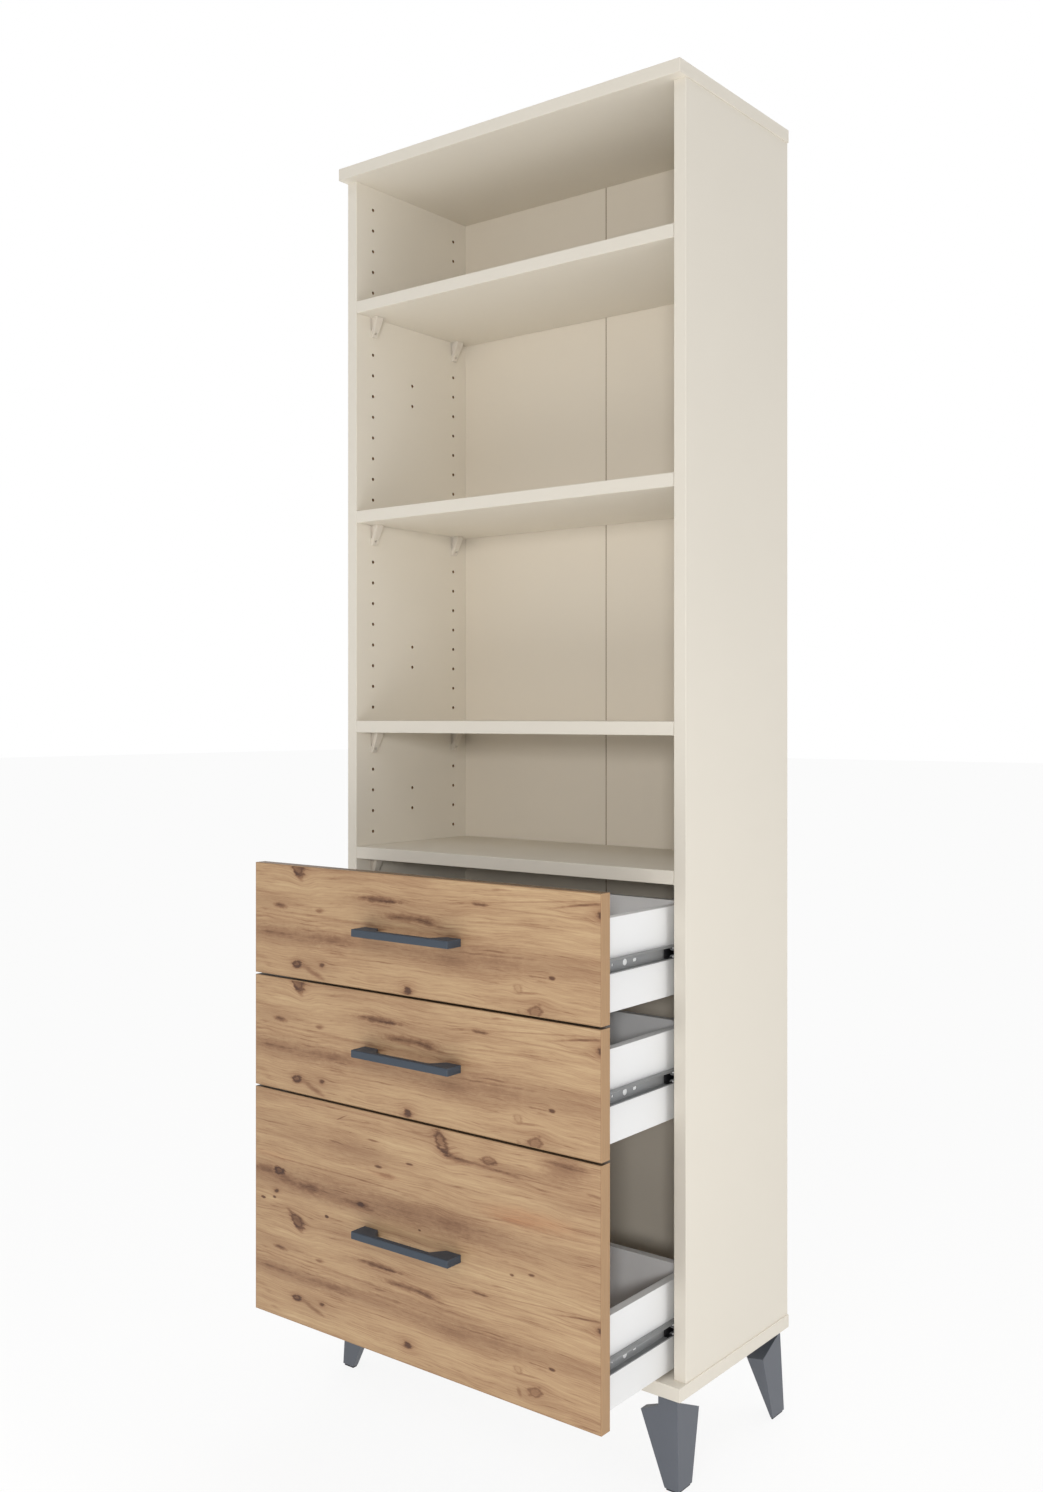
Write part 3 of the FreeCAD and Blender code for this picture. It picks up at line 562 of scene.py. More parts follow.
def coated_board(name, tone, roughness, pearls=1400.0, depth=0.02 * MM, front_edges=1.0):
    """Coated board, with its core where a mesh marks it, and its forward-facing faces darkened by a factor:
    painted shade.
    """
    def paint(nodes, shader):
        place = nodes.own_place()
        skin = nodes.group(melamine_skin(), {"Place": place, "Roughness": roughness,
                                             "Pearls per metre": pearls})
        cut = nodes.value("Fac", "ShaderNodeAttribute", attribute_name="core")
        chips = (nodes.noise(place, 700.0, 3.0, 0.7) - 0.5).times(1.2, plus=1.0)
        chips = nodes.shaded(bpy.context.scene.bookcase_boards.core, chips)
        # Painted shade: faces that point forwards are darkened by the factor given for the front edges.
        forwards = nodes.apart(nodes.value("Normal", "ShaderNodeNewGeometry"))[1]
        shade = skin["Shade"] * nodes.remap(forwards, -0.95, -0.7, front_edges, 1.0)
        nodes.dress(shader, nodes.mix(cut, nodes.shaded(tone, shade), chips),
                    cut.times(0.4, plus=skin["Roughness"]), skin["Height"], depth, 0.5, specular=0.35)
    return finish(name, paint)


def moulded(name, tone, roughness, grains=2200.0, depth=0.03 * MM, rub=0.0, rub_tone=None, specular=0.5):
    """Moulded plastic or powder coat, with its edges rubbed by use."""
    def paint(nodes, shader):
        place = nodes.own_place()
        skin = nodes.group(moulded_skin(), {"Place": place, "Roughness": roughness,
                                            "Grains per metre": grains})
        base = nodes.shaded(tone, skin["Shade"])
        if rub:
            edge = nodes.group(rubbed_edge(), {"Place": place})["Edge"]
            base = nodes.mix(edge * rub, base, rub_tone)
        nodes.dress(shader, base, skin["Roughness"], skin["Height"], depth, 0.6, specular)
    return finish(name, paint)


def metal(name, tone, roughness, lines, metallic=1.0):
    """Drawn or cast metal, with fine lines along its length."""
    def paint(nodes, shader):
        grain = nodes.group(drawn_grain(), {"Place": nodes.own_place(), "Roughness": roughness,
                                            "Lines per metre": lines})
        nodes.dress(shader, nodes.shaded(tone, grain["Shade"]), grain["Roughness"], grain["Height"],
                    0.01 * MM, 0.4, metallic=metallic)
    return finish(name, paint)


def paper_tape(name, tone):
    """Creased paper tape with fine crosswise ribs."""
    def paint(nodes, shader):
        crease = nodes.stretched_noise(nodes.own_place(), (260.0, 1.0, 900.0), 4.0, 0.6)
        nodes.dress(shader, nodes.shaded(tone, crease.times(0.1, plus=0.95)), crease.times(0.2, plus=0.55),
                    crease, 0.1 * MM, 0.6)
    return finish(name, paint)


def beech():
    """Turned dowel wood with grain along its length."""
    def paint(nodes, shader):
        grain = nodes.stretched_noise(nodes.own_place(), (1500.0, 1500.0, 60.0), 3.0)
        tone = nodes.ramp(grain, ((0.3, (176, 138, 98)), (0.55, (206, 172, 130)), (0.8, (220, 190, 150))))
        nodes.dress(shader, tone, grain.times(0.2, plus=0.5), grain, 0.05 * MM, 0.5)
    return finish("Beech", paint)


def finish_for(slot):
    """The material of a slot: its kind, name, colour, roughness and what else its kind asks for."""
    scene = bpy.context.scene
    boards, metals, plastics = scene.bookcase_boards, scene.bookcase_metals, scene.bookcase_plastics
    make, *details = {
        "cashmere_board": (coated_board, "Cashmere board", boards.carcass, 0.40, 1400.0, 0.02 * MM,
                           boards.edging),
        "back_board": (coated_board, "Back sheet", boards.back, 0.5, 700.0, 0.03 * MM),
        "white_board": (coated_board, "White board", boards.box, 0.34),
        "tape": (paper_tape, "Seam tape", plastics.tape),
        "slide_steel": (metal, "Slide steel", metals.slide, 0.4, (3000.0, 50.0, 3000.0), 0.6),
        "screw_steel": (metal, "Screw steel", metals.screw, 0.3, (900.0, 900.0, 900.0), 0.4),
        "cam_zinc": (metal, "Cam zinc", metals.cam, 0.34, (1200.0, 1200.0, 1200.0)),
        "handle_finish": (moulded, "Powder coat", metals.handle, 0.5, 2600.0, 0.05 * MM, 0.35,
                          srgb(118, 130, 142), 0.25),
        "foot_plastic": (moulded, "Foot plastic", plastics.foot, 0.38, 1800.0, 0.04 * MM, 0.3,
                         srgb(150, 156, 164)),
        "support_plastic": (moulded, "Support plastic", plastics.support, 0.36),
        "cage_plastic": (moulded, "Cage plastic", plastics.cage, 0.3),
        "glide_plastic": (moulded, "Glide pad", plastics.glide, 0.7, 900.0, 0.1 * MM),
    }[slot]
    return make(*details)


def decor_front(drawer):
    """Oak decor on one drawer front."""
    settings = bpy.context.scene.bookcase_decor
    low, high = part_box("drawer_" + drawer + "_front")
    sheet_top, sheet_scale = SHEET_PLACES[drawer]

    def paint(nodes, shader):
        place = nodes.own_place()
        x, _, z = nodes.apart(place)
        sheet = nodes.value("Vector", "ShaderNodeMapping", {
            "Vector": nodes.together(x, z),
            "Location": (-1000.0 * low.x, 1000.0 * sheet_scale * high.z + sheet_top, 0.0),
            "Scale": (1000.0, -1000.0 * sheet_scale, 1.0)}, vector_type="POINT")
        oak = nodes.group(oak_decor(), {"Place": sheet, "Contrast": settings.contrast,
                                        "Clouds": settings.cloudiness})
        parts = nodes.group(front_edging(), {"Place": place, "Low corner": tuple(low),
                                             "High corner": tuple(high), "Band": settings.band})
        grain = nodes.stretched_noise(place, (24.0, 900.0, 24.0), 3.0, 0.6)
        # The edging's grain, and painted shade that darkens its top and bottom faces by up to 0.6.
        shade = (grain - 0.5).times(0.34, plus=1.0) * parts["Level"].times(-0.6, plus=1.0)
        tone = nodes.mix(parts["Face"], nodes.shaded(settings.face, shade), oak["Colour"])
        tone = nodes.mix(parts["Glue line"] * 0.55, tone, srgb(112, 82, 58))
        height = parts["Glue line"].times(-1.2, plus=oak["Height"])
        nodes.dress(shader, tone, oak["Roughness"], height, 0.06 * MM, 0.5, specular=0.35)
    return finish("Oak decor " + drawer, paint)


# ------------------------------------------------------------------ making pieces
def show(name, mesh):
    piece = bpy.data.objects.new(name, mesh)
    bpy.context.scene.collection.objects.link(piece)
    return piece


def solid(name, work):
    """Object of a name from a bmesh, which is used up."""
    mesh = bpy.data.meshes.new(name)
    bmesh.ops.recalc_face_normals(work, faces=work.faces)
    work.to_mesh(mesh)
    work.free()
    return show(name, mesh)


def block(matrix):
    """A bmesh of a unit cube, moved and sized by a matrix."""
    work = bmesh.new()
    bmesh.ops.create_cube(work, size=1.0, matrix=matrix)
    return work


def flat_faces_first(piece, sharp=34.0):
    """Smooth rounds beside flat faces that stay flat."""
    piece.data.shade_smooth()
    piece.data.set_sharp_from_angle(angle=math.radians(sharp))
    step = piece.modifiers.new("Flat faces", "WEIGHTED_NORMAL")
    step.keep_sharp = True
    step.weight = 100


def paint_over(node, material):
    """Give a CAD node another look, all over."""
    piece = frame["nodes"][node]
    if piece.material_slots:
        for slot in piece.material_slots:
            slot.material = material
    else:
        piece.data.materials.append(material)


def stand_for(piece, node, slot, material=None):
    """Let a piece take the place of a CAD node, on the same body."""
    piece.data.materials.clear()
    piece.data.materials.append(material or finish_for(slot))
    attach(piece, frame["nodes"][node]["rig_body"])
    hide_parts(node)


def rounded_box(low, high, radius, square=None, small=0.0):
    """Box with rounded edges; with a square axis, the edges round its two ends get the small radius."""
    work = block(Matrix.Translation((low + high) / 2) @ Matrix.Diagonal((*(high - low), 1.0)))

    def is_along(edge, axis):
        run = edge.verts[1].co - edge.verts[0].co
        return abs(run[axis]) > 0.99 * run.length

    long_edges = [e for e in work.edges if square is None or is_along(e, square)]
    bmesh.ops.bevel(work, geom=long_edges, offset=radius, segments=3, profile=0.5, affect="EDGES")
    if square is not None:
        ends = [e for e in work.edges if not is_along(e, square)
                and len(e.link_faces) == 2 and e.calc_face_angle() > math.radians(60)]
        bmesh.ops.bevel(work, geom=ends, offset=small, segments=1, profile=0.5, affect="EDGES")
    return work


def merged(mesh):
    """Closed copy of a mesh of loose triangles, with its flat faces whole."""
    work = bmesh.new()
    work.from_mesh(mesh)
    bmesh.ops.remove_doubles(work, verts=work.verts, dist=2e-6)
    bmesh.ops.dissolve_limit(work, angle_limit=math.radians(0.5), verts=work.verts, edges=work.edges)
    return work


def round_edges(piece, radius, segments=2, sharp=25.0):
    piece.data.shade_smooth()
    step = piece.modifiers.new("Rounded edges", "BEVEL")
    step.width = radius
    step.segments = segments
    step.limit_method = "ANGLE"
    step.angle_limit = math.radians(sharp)
    step.harden_normals = True


def softened(node, radius, slot):
    """Copy of a CAD node with its edges rounded, in its place."""
    piece = solid(node + "_finished", merged(frame["nodes"][node].data))
    round_edges(piece, radius)
    stand_for(piece, node, slot)


def facing(direction):
    """Turn that brings +Z to a direction."""
    return tuple(Vector(direction).to_track_quat("Z", "Y").to_euler())


def places_object(rows):
    """Points to put pieces at; each row is a place, a turn and a size."""
    mesh = bpy.data.meshes.new("places")
    mesh.from_pydata([tuple(row[0]) for row in rows], [], [])
    for column, label in ((1, "turn"), (2, "size")):
        values = mesh.attributes.new(label, "FLOAT_VECTOR", "POINT")
        values.data.foreach_set("vector", [number for row in rows for number in row[column]])
    return show("places", mesh)


def places_tree(cutting):
    """Geometry nodes that put a master piece at every place, or cut it out of the board there."""
    name = "Cut at places" if cutting else "Pieces at places"
    tree = bpy.data.node_groups.get(name)
    if tree:
        return tree
    tree = bpy.data.node_groups.new(name, "GeometryNodeTree")
    for label, kind in (("Geometry", "Geometry"), ("Places", "Object"), ("Master", "Object"),
                        ("Finish", "Material")):
        tree.interface.new_socket(name=label, in_out="INPUT", socket_type="NodeSocket" + kind)
    tree.interface.new_socket(name="Geometry", in_out="OUTPUT", socket_type="NodeSocketGeometry")
    nodes = Nodes(tree)
    given = nodes.values("NodeGroupInput")
    places, master = (nodes.value("Geometry", "GeometryNodeObjectInfo", {"Object": given[label]})
                      for label in ("Places", "Master"))
    turn, size = (nodes.value("Attribute", "GeometryNodeInputNamedAttribute", {"Name": label},
                              data_type="FLOAT_VECTOR") for label in ("turn", "size"))
    made = nodes.value("Instances", "GeometryNodeInstanceOnPoints", {
        "Points": places, "Instance": master, "Scale": size,
        "Rotation": nodes.value(0, "FunctionNodeEulerToRotation", {"Euler": turn})})
    if cutting:
        cutters = nodes.value("Geometry", "GeometryNodeRealizeInstances", {"Geometry": made})
        made = nodes.value("Mesh", "GeometryNodeMeshBoolean", {
            "Mesh 1": given["Geometry"], "Mesh 2": cutters}, operation="DIFFERENCE", solver="EXACT")
    real = nodes.value("Geometry", "GeometryNodeRealizeInstances", {"Geometry": made})
    done = nodes.value("Geometry", "GeometryNodeSetMaterial", {"Geometry": real,
                                                               "Material": given["Finish"]})
    nodes.add("NodeGroupOutput", {0: done})
    return tree


def run_tree(piece, tree, **values):
    step = piece.modifiers.new(tree.name, "NODES")
    step.node_group = tree
    for item in tree.interface.items_tree:
        if item.in_out == "INPUT" and item.name in values:
            step[item.identifier] = values[item.name]


def cleared(*pieces):
    for piece in pieces:
        bpy.data.objects.remove(piece)


def baked(piece, *helpers):
    """Turn what a piece's modifiers make into its own plain mesh, and clear the helpers away."""
    depsgraph = bpy.context.evaluated_depsgraph_get()
    mesh = bpy.data.meshes.new_from_object(piece.evaluated_get(depsgraph), depsgraph=depsgraph)
    piece.modifiers.clear()
    piece.data = mesh
    mesh.name = piece.name
    cleared(*helpers)
    return piece


def bar_master(sides=24):
    """Round bar of unit diameter and length that starts at its origin."""
    work = bmesh.new()
    bmesh.ops.create_cone(work, cap_ends=True, segments=sides, radius1=0.5, radius2=0.5, depth=1.0,
                          matrix=Matrix.Translation((0.0, 0.0, 0.5)))
    return solid("bar", work)


def block_master():
    """Unit block with its lowest corner at its origin."""
    return solid("block", block(Matrix.Translation((0.5, 0.5, 0.5))))


def hole(start, direction, diameter, reach, lead=0.5 * MM):
    """Row for a round hole from a face inwards; it starts a little in front of the face."""
    direction = Vector(direction)
    return Vector(start) - direction * lead, facing(direction), (diameter, diameter, reach + lead)


def slab(one, other):
    """Row for a block between two opposite corners."""
    low = Vector(map(min, one, other))
    return low, ZERO, tuple(Vector(map(max, one, other)) - low)


def stood(place, direction):
    """Row for a master piece in its own size, turned to a direction."""
    return place, facing(direction), ONE


def cut_out(piece, material, holes=(), slabs=(), sides=24):
    """Bake a piece with round holes and square grooves taken out of it."""
    helpers = []
    for rows, master in ((slabs, block_master), (holes, lambda: bar_master(sides))):
        if rows:
            made = [places_object(rows), master()]
            run_tree(piece, places_tree(True), Places=made[0], Master=made[1], Finish=material)
            helpers += made
    return baked(piece, *helpers)


def set_out(name, rows, master, slot):
    """Bake a master piece at every row's place into one mesh."""
    piece = show(name, bpy.data.meshes.new(name))
    places = places_object(rows)
    run_tree(piece, places_tree(False), Places=places, Master=master, Finish=finish_for(slot))
    return baked(piece, places)


def spread(node, rows, master, slot):
    """A master piece at every row's place, for a CAD node."""
    piece = set_out(node + "_finished", rows, master, slot)
    flat_faces_first(piece)
    stand_for(piece, node, slot)


def mark_core(piece, low, high, thin=None):
    """Mark the faces that show a board's core: inside its holes, or on the rims of a thin board."""
    skin = 0.3 * MM
    marks = piece.data.attributes.new("core", "FLOAT", "FACE")
    for polygon, mark in zip(piece.data.polygons, marks.data):
        if thin is None:
            place = polygon.center
            mark.value = min(min(place[n] - low[n], high[n] - place[n]) for n in range(3)) > skin
        else:
            mark.value = abs(polygon.normal[thin]) < 0.9


def board(node, slot, radius, square=None, small=0.0, holes=(), slabs=(), thin=None, material=None):
    """Board in a CAD node's place, with rounded edges, grooves and holes."""
    low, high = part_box(node)
    material = material or finish_for(slot)
    piece = solid(node + "_finished", rounded_box(low, high, radius, square, small))
    if holes or slabs:
        cut_out(piece, material, holes, slabs)
    mark_core(piece, low, high, thin)
    flat_faces_first(piece)
    stand_for(piece, node, slot, material)


def turned_solid(profile, sides=28):
    """A bmesh of a solid of revolution about Z: (radius, height) pairs from axis to axis, millimetres."""
    work = bmesh.new()
    rings = []
    for radius, height in profile:
        turns = [2 * math.pi * n / sides for n in range(sides if radius else 1)]
        rings.append([work.verts.new((radius * MM * math.cos(turn), radius * MM * math.sin(turn),
                                      height * MM)) for turn in turns])
    for lower, upper in zip(rings, rings[1:]):
        for n in range(sides):
            m = (n + 1) % sides
            corners = [lower[n % len(lower)], lower[m % len(lower)], upper[m % len(upper)],
                       upper[n % len(upper)]]
            work.faces.new(list(dict.fromkeys(corners)))
    return work


def combine(piece, other, operation="DIFFERENCE"):
    """Take another solid out of a piece, or join it on."""
    step = piece.modifiers.new("Combine", "BOOLEAN")
    step.operation = operation
    step.solver = "EXACT"
    step.object = other
    return baked(piece, other)


def sink_cross(piece, bottom, long, wide, high):
    """Sink a driver cross into a piece, millimetres."""
    for turn in (0.0, 90.0):
        matrix = Matrix.Rotation(math.radians(turn), 4, "Z")
        matrix = matrix @ Matrix.Translation((0.0, 0.0, (bottom + high / 2) * MM))
        combine(piece, solid("slot", block(matrix @ Matrix.Diagonal((long * MM, wide * MM, high * MM, 1.0)))))
    return piece


def screw_master(head, head_height, core, long, domed=True):
    """Screw along -Z with its head's seat at the origin, a driver cross sunk in the head, millimetres."""
    profile = [(0.0, -long), (core * 0.22, -long + core * 0.2), (core / 2, -long + core * 1.1)]
    profile += [(core / 2, 0.0), (head / 2 * 0.995, 0.0)]
    if domed:
        for step in range(1, 6):
            turn = math.radians(90 * step / 6)
            profile.append((head / 2 * (0.45 + 0.55 * math.cos(turn)), head_height * math.sin(turn) ** 0.8))
    else:
        profile += [(head / 2, head_height * 0.92), (head / 2 * 0.94, head_height)]
    screw = solid("screw", turned_solid(profile + [(0.0, head_height)]))
    depth = min(head_height * 0.7, head * 0.22)
    return sink_cross(screw, head_height - depth, head * 0.56, head * 0.12, 10.0)


# ------------------------------------------------------------------ carcass
# Joinery of sides and panels: setbacks from the front edge, diameters and depths.
SCREW_SETBACKS = (64 * MM, 200 * MM)
DOWEL_SETBACKS = (100 * MM, 164 * MM)
SCREW_BORE = 5.2 * MM
SCREW_DEPTH = 36.2 * MM
HEAD_BORE = 10.2 * MM
HEAD_DEPTH = 4 * MM
DOWEL_BORE = 8.3 * MM
DOWEL_DEPTH = 18.3 * MM         # in a side's end
DOWEL_PANEL_DEPTH = 12.2 * MM
THROUGH = 20 * MM               # for holes right through a board
FIXING_ROWS = (3 / 32, 10 / 32, 23 / 32)     # where a pair of fixing holes starts in a column

# Groove of the back board: how far it reaches from the middle, and from and to which Y.
GROOVE_REACH = 288 * MM
GROOVE_DEPTH = 6 * MM
THIN_PLAY = 0.15 * MM           # of a thin board in its groove
END_PLAY = 0.3 * MM             # of its ends
back_low, back_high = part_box("back_board_left")
BACK_GROOVE = (back_low.y - THIN_PLAY, back_high.y + THIN_PLAY)

# Rounds on small edges.
TAPE_ROUND = 0.1 * MM
GLIDE_ROUND = 0.5 * MM
BOX_BACK_ROUND = 0.2 * MM       # on the ends between the box sides
BOX_BOTTOM_ROUND = 0.3 * MM


class BOOKCASE_OT_side_boards(bpy.types.Operator):
    """Both sides, with their columns of pin holes and the groove for the back"""
    bl_idname = "bookcase.side_boards"
    bl_label = "Side boards"

    def execute(self, context):
        boards = context.scene.bookcase_boards
        fixing = [round(part * (boards.pin_rows - 1)) for part in FIXING_ROWS]
        for node, side in (("left_side_panel", -1), ("right_side_panel", 1)):
            low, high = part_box(node)
            holes = []
            for row in range(boards.pin_rows):
                setbacks = [boards.front_setback, boards.rear_setback]
                if row in fixing or row - 1 in fixing:
                    setbacks.append(boards.fixing_setback)
                height = boards.lowest_pin + row * boards.pin_pitch
                holes += [hole((side * SIDE_INNER, FRONT_EDGE + setback, height), (side, 0, 0),
                               boards.pin_hole, boards.pin_reach) for setback in setbacks]
            for z, inwards in ((low.z, 1), (high.z, -1)):
                for setbacks, diameter, reach in ((SCREW_SETBACKS, SCREW_BORE, SCREW_DEPTH),
                                                  (DOWEL_SETBACKS, DOWEL_BORE, DOWEL_DEPTH)):
                    holes += [hole((side * SIDE_MIDDLE, FRONT_EDGE + setback, z), (0, 0, inwards),
                                   diameter, reach) for setback in setbacks]
            groove = slab((0.0, BACK_GROOVE[0], low.z - MM),
                          (side * GROOVE_REACH, BACK_GROOVE[1], high.z + MM))
            board(node, "cashmere_board", boards.edge_round, 2, boards.butt_round, holes, [groove])
        return {"FINISHED"}


class BOOKCASE_OT_panels_and_shelves(bpy.types.Operator):
    """Top and bottom panels and the four shelves"""
    bl_idname = "bookcase.panels_and_shelves"
    bl_label = "Panels and shelves"

    def execute(self, context):
        boards = context.scene.bookcase_boards
        for node, outwards in PANELS:
            low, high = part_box(node)
            outer, inner = (high.z, low.z) if outwards > 0 else (low.z, high.z)
            seat = outer - outwards * (HEAD_DEPTH - 0.1 * MM)
            holes = []
            for side in BOTH:
                for setback in SCREW_SETBACKS:
                    at = (side * SIDE_MIDDLE, FRONT_EDGE + setback)
                    holes.append(hole((*at, outer), (0, 0, -outwards), HEAD_BORE, HEAD_DEPTH))
                    holes.append(hole((*at, seat), (0, 0, -outwards), SCREW_BORE, THROUGH, 0.0))
                for setback in DOWEL_SETBACKS:
                    holes.append(hole((side * SIDE_MIDDLE, FRONT_EDGE + setback, inner), (0, 0, outwards),
                                      DOWEL_BORE, DOWEL_PANEL_DEPTH))
            groove = slab((-GROOVE_REACH, BACK_GROOVE[0], inner - outwards * MM),
                          (GROOVE_REACH, BACK_GROOVE[1], inner + outwards * GROOVE_DEPTH))
            board(node, "cashmere_board", boards.edge_round, holes=holes, slabs=[groove])
        for node in SHELVES:
            board(node, "cashmere_board", boards.edge_round, 0, boards.butt_round)
        return {"FINISHED"}


class BOOKCASE_OT_back(bpy.types.Operator):
    """Back board in two halves, and the tape over their seam"""
    bl_idname = "bookcase.back"
    bl_label = "Back"

    def execute(self, context):
        for node in ("back_board_left", "back_board_right"):
            board(node, "back_board", context.scene.bookcase_boards.seam_round, thin=1)
        board("back_board_tape", "tape", TAPE_ROUND)
        return {"FINISHED"}


# Outlines of a shelf support, seen from the front: out from the side and down from the shelf, millimetres.
SUPPORT_OUTLINE = [(0.0, 0.0), (15.5, 0.0), (15.5, -3.5), (5.0, -28.5)] + [
    (2.5 + 2.5 * math.cos(math.radians(15 * step)), -28.5 - 2.5 * math.sin(math.radians(15 * step)))
    for step in range(1, 7)] + [(0.0, -31.0)]
SUPPORT_POCKET = [(0.8, -1.2), (11.0, -1.2), (3.0, -21.0), (0.8, -21.0)]
SUPPORT_HEIGHT = 31.0
SUPPORT_HALF = 5.0          # half its width at the foot
SUPPORT_FLARE = 0.5         # how much wider it is at the shelf
POCKETS = ((-12.0, -3.0), (3.0, 12.0))      # across the support, from beside it to its web
PEG_DROP = 25 * MM          # from the shelf to the peg
PEG_SIZE = (4.8 * MM, 4.8 * MM, 10.2 * MM)
DIMPLE_BORE = 4.2 * MM
DIMPLE_DEPTH = 5.2 * MM


def prism(outline, low, high):
    """A bmesh of an (x, z) outline drawn out along Y, all in millimetres."""
    work = bmesh.new()
    face = work.faces.new([work.verts.new((x * MM, low * MM, z * MM)) for x, z in outline])
    moved = bmesh.ops.extrude_face_region(work, geom=[face])["geom"]
    bmesh.ops.translate(work, vec=(0.0, (high - low) * MM, 0.0),
                        verts=[item for item in moved if isinstance(item, bmesh.types.BMVert)])
    bmesh.ops.recalc_face_normals(work, faces=work.faces)
    return work


class BOOKCASE_OT_shelf_supports(bpy.types.Operator):
    """Sixteen gusset supports, four under each shelf"""
    bl_idname = "bookcase.shelf_supports"
    bl_label = "Shelf supports"

    def execute(self, context):
        boards = context.scene.bookcase_boards
        slot = "support_plastic"
        work = prism(SUPPORT_OUTLINE, -SUPPORT_HALF, SUPPORT_HALF)
        for vert in work.verts:
            vert.co.y *= 1 + SUPPORT_FLARE * (1 + vert.co.z / (SUPPORT_HEIGHT * MM))
        rims = [e for e in work.edges if e.calc_face_angle() > math.radians(40)]
        bmesh.ops.bevel(work, geom=rims, offset=context.scene.bookcase_plastics.support_round, segments=3,
                        profile=0.5, affect="EDGES")
        gusset = solid("gusset", work)
        for low, high in POCKETS:
            combine(gusset, solid("pocket", prism(SUPPORT_POCKET, low, high)))
        dimple = hole((6.6 * MM, 0.0, -PEG_DROP), (-1, 0, 0), DIMPLE_BORE, DIMPLE_DEPTH, lead=3 * MM)
        cut_out(gusset, finish_for(slot), [dimple])
        bar = bar_master(20)
        peg = ((0.2 * MM, 0.0, -PEG_DROP), facing((-1, 0, 0)), PEG_SIZE)
        combine(gusset, set_out("peg", [peg], bar, slot), "UNION")
        rows = [((side * SIDE_INNER, FRONT_EDGE + setback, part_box(node)[0].z),
                 (0.0, 0.0, 0.0 if side < 0 else math.pi), ONE)
                for node in SHELVES for setback in (boards.front_setback, boards.rear_setback)
                for side in BOTH]
        spread("shelf_supports", rows, gusset, slot)
        cleared(bar, gusset)
        return {"FINISHED"}


# Rings of a foot from its toe up to its neck, millimetres from the bottom panel's corner:
# height, inset, width, depth, and how far the two outer faces return.
FOOT_RINGS = ((3.0, 5.0, 21.0, 33.0, 10.0, 4.0), (92.0, 8.2, 56.0, 53.0, 14.0, 25.0),
              (113.0, 9.0, 7.0, 4.0, 3.0, 4.0))
FACET_DROP = 4.0            # of the inner corner between the lower and the upper facets
FOOT_PLATE = ((10, 10), (66, 10), (66, 48), (48, 66), (10, 66))
FOOT_POST = ((9, 9), (38, 9), (38, 34), (22, 34), (22, 13), (9, 13))
POST_FOOT = 88.0
POST_GAP = 1.0              # from the post's top to the panel
PLATE_THICKNESS = 3.0


def stacked(rings):
    """A bmesh of a closed solid through rings of points, millimetres."""
    work = bmesh.new()
    made = [[work.verts.new(Vector(point) * MM) for point in ring] for ring in rings]
    work.faces.new(made[0][::-1])
    work.faces.new(made[-1])
    for lower, upper in zip(made, made[1:]):
        for n in range(len(lower)):
            m = (n + 1) % len(lower)
            work.faces.new((lower[n], lower[m], upper[m], upper[n]))
    bmesh.ops.triangulate(work, faces=work.faces)
    return work


def foot_master(top):
    """Foot for the corner where X and Y start, from its glide up to the bottom panel, millimetres."""
    rings = [[(inset, inset, height), (inset + width, inset, height),
              (inset + width, inset + front_return, height),
              (inset + side_return, inset + depth, height), (inset, inset + depth, height)]
             for height, inset, width, depth, front_return, side_return in FOOT_RINGS]
    x, y, height = rings[1][3]
    rings[1][3] = (x, y, height - FACET_DROP)
    foot = solid("foot", stacked(rings))
    for outline, low, high in ((FOOT_POST, POST_FOOT, top - POST_GAP),
                               (FOOT_PLATE, top - PLATE_THICKNESS, top)):
        part = stacked([[(x, y, z) for x, y in outline] for z in (low, high)])
        combine(foot, solid("part", part), "UNION")
    return foot


class BOOKCASE_OT_feet(bpy.types.Operator):
    """Four faceted feet, their glides and fixing screws"""
    bl_idname = "bookcase.feet"
    bl_label = "Feet"

    def execute(self, context):
        low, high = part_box("bottom_panel")
        master = foot_master(low.z / MM)
        for node, x, y in (("foot_front_left", low.x, low.y), ("foot_front_right", high.x, low.y),
                           ("foot_rear_left", low.x, high.y), ("foot_rear_right", high.x, high.y)):
            work = merged(master.data)
            turn = Matrix.Diagonal((1 if x < 0 else -1, 1 if y < 0 else -1, 1, 1))
            bmesh.ops.transform(work, verts=work.verts, matrix=Matrix.Translation((x, y, 0.0)) @ turn)
            foot = solid(node + "_finished", work)
            round_edges(foot, context.scene.bookcase_plastics.foot_round, 3, 20.0)
            stand_for(foot, node, "foot_plastic")
        cleared(master)
        softened("foot_glides", GLIDE_ROUND, "glide_plastic")
        paint_over("foot_screws", finish_for("screw_steel"))
        return {"FINISHED"}


# ------------------------------------------------------------------ drawers
CAM_PROFILE = ((0.0, 0.0), (7.0, 0.0), (7.4, 0.5), (7.4, 9.2), (7.1, 9.5), (0.0, 9.5))
CAM_BORE = 15 * MM
CAM_DEPTH = 9.5 * MM
CAM_INSET = 24 * MM         # from a board's end to its cam
HANDLE_REACH = 80 * MM      # from a handle's middle to its screws
HANDLE_BORE = 4.4 * MM


def bottom_groove(drawer):
    """Row for the groove round a drawer's bottom."""
    low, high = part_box("drawer_" + drawer + "_bottom")
    play = Vector((END_PLAY, END_PLAY, THIN_PLAY))
    return slab(low - play, high + play)


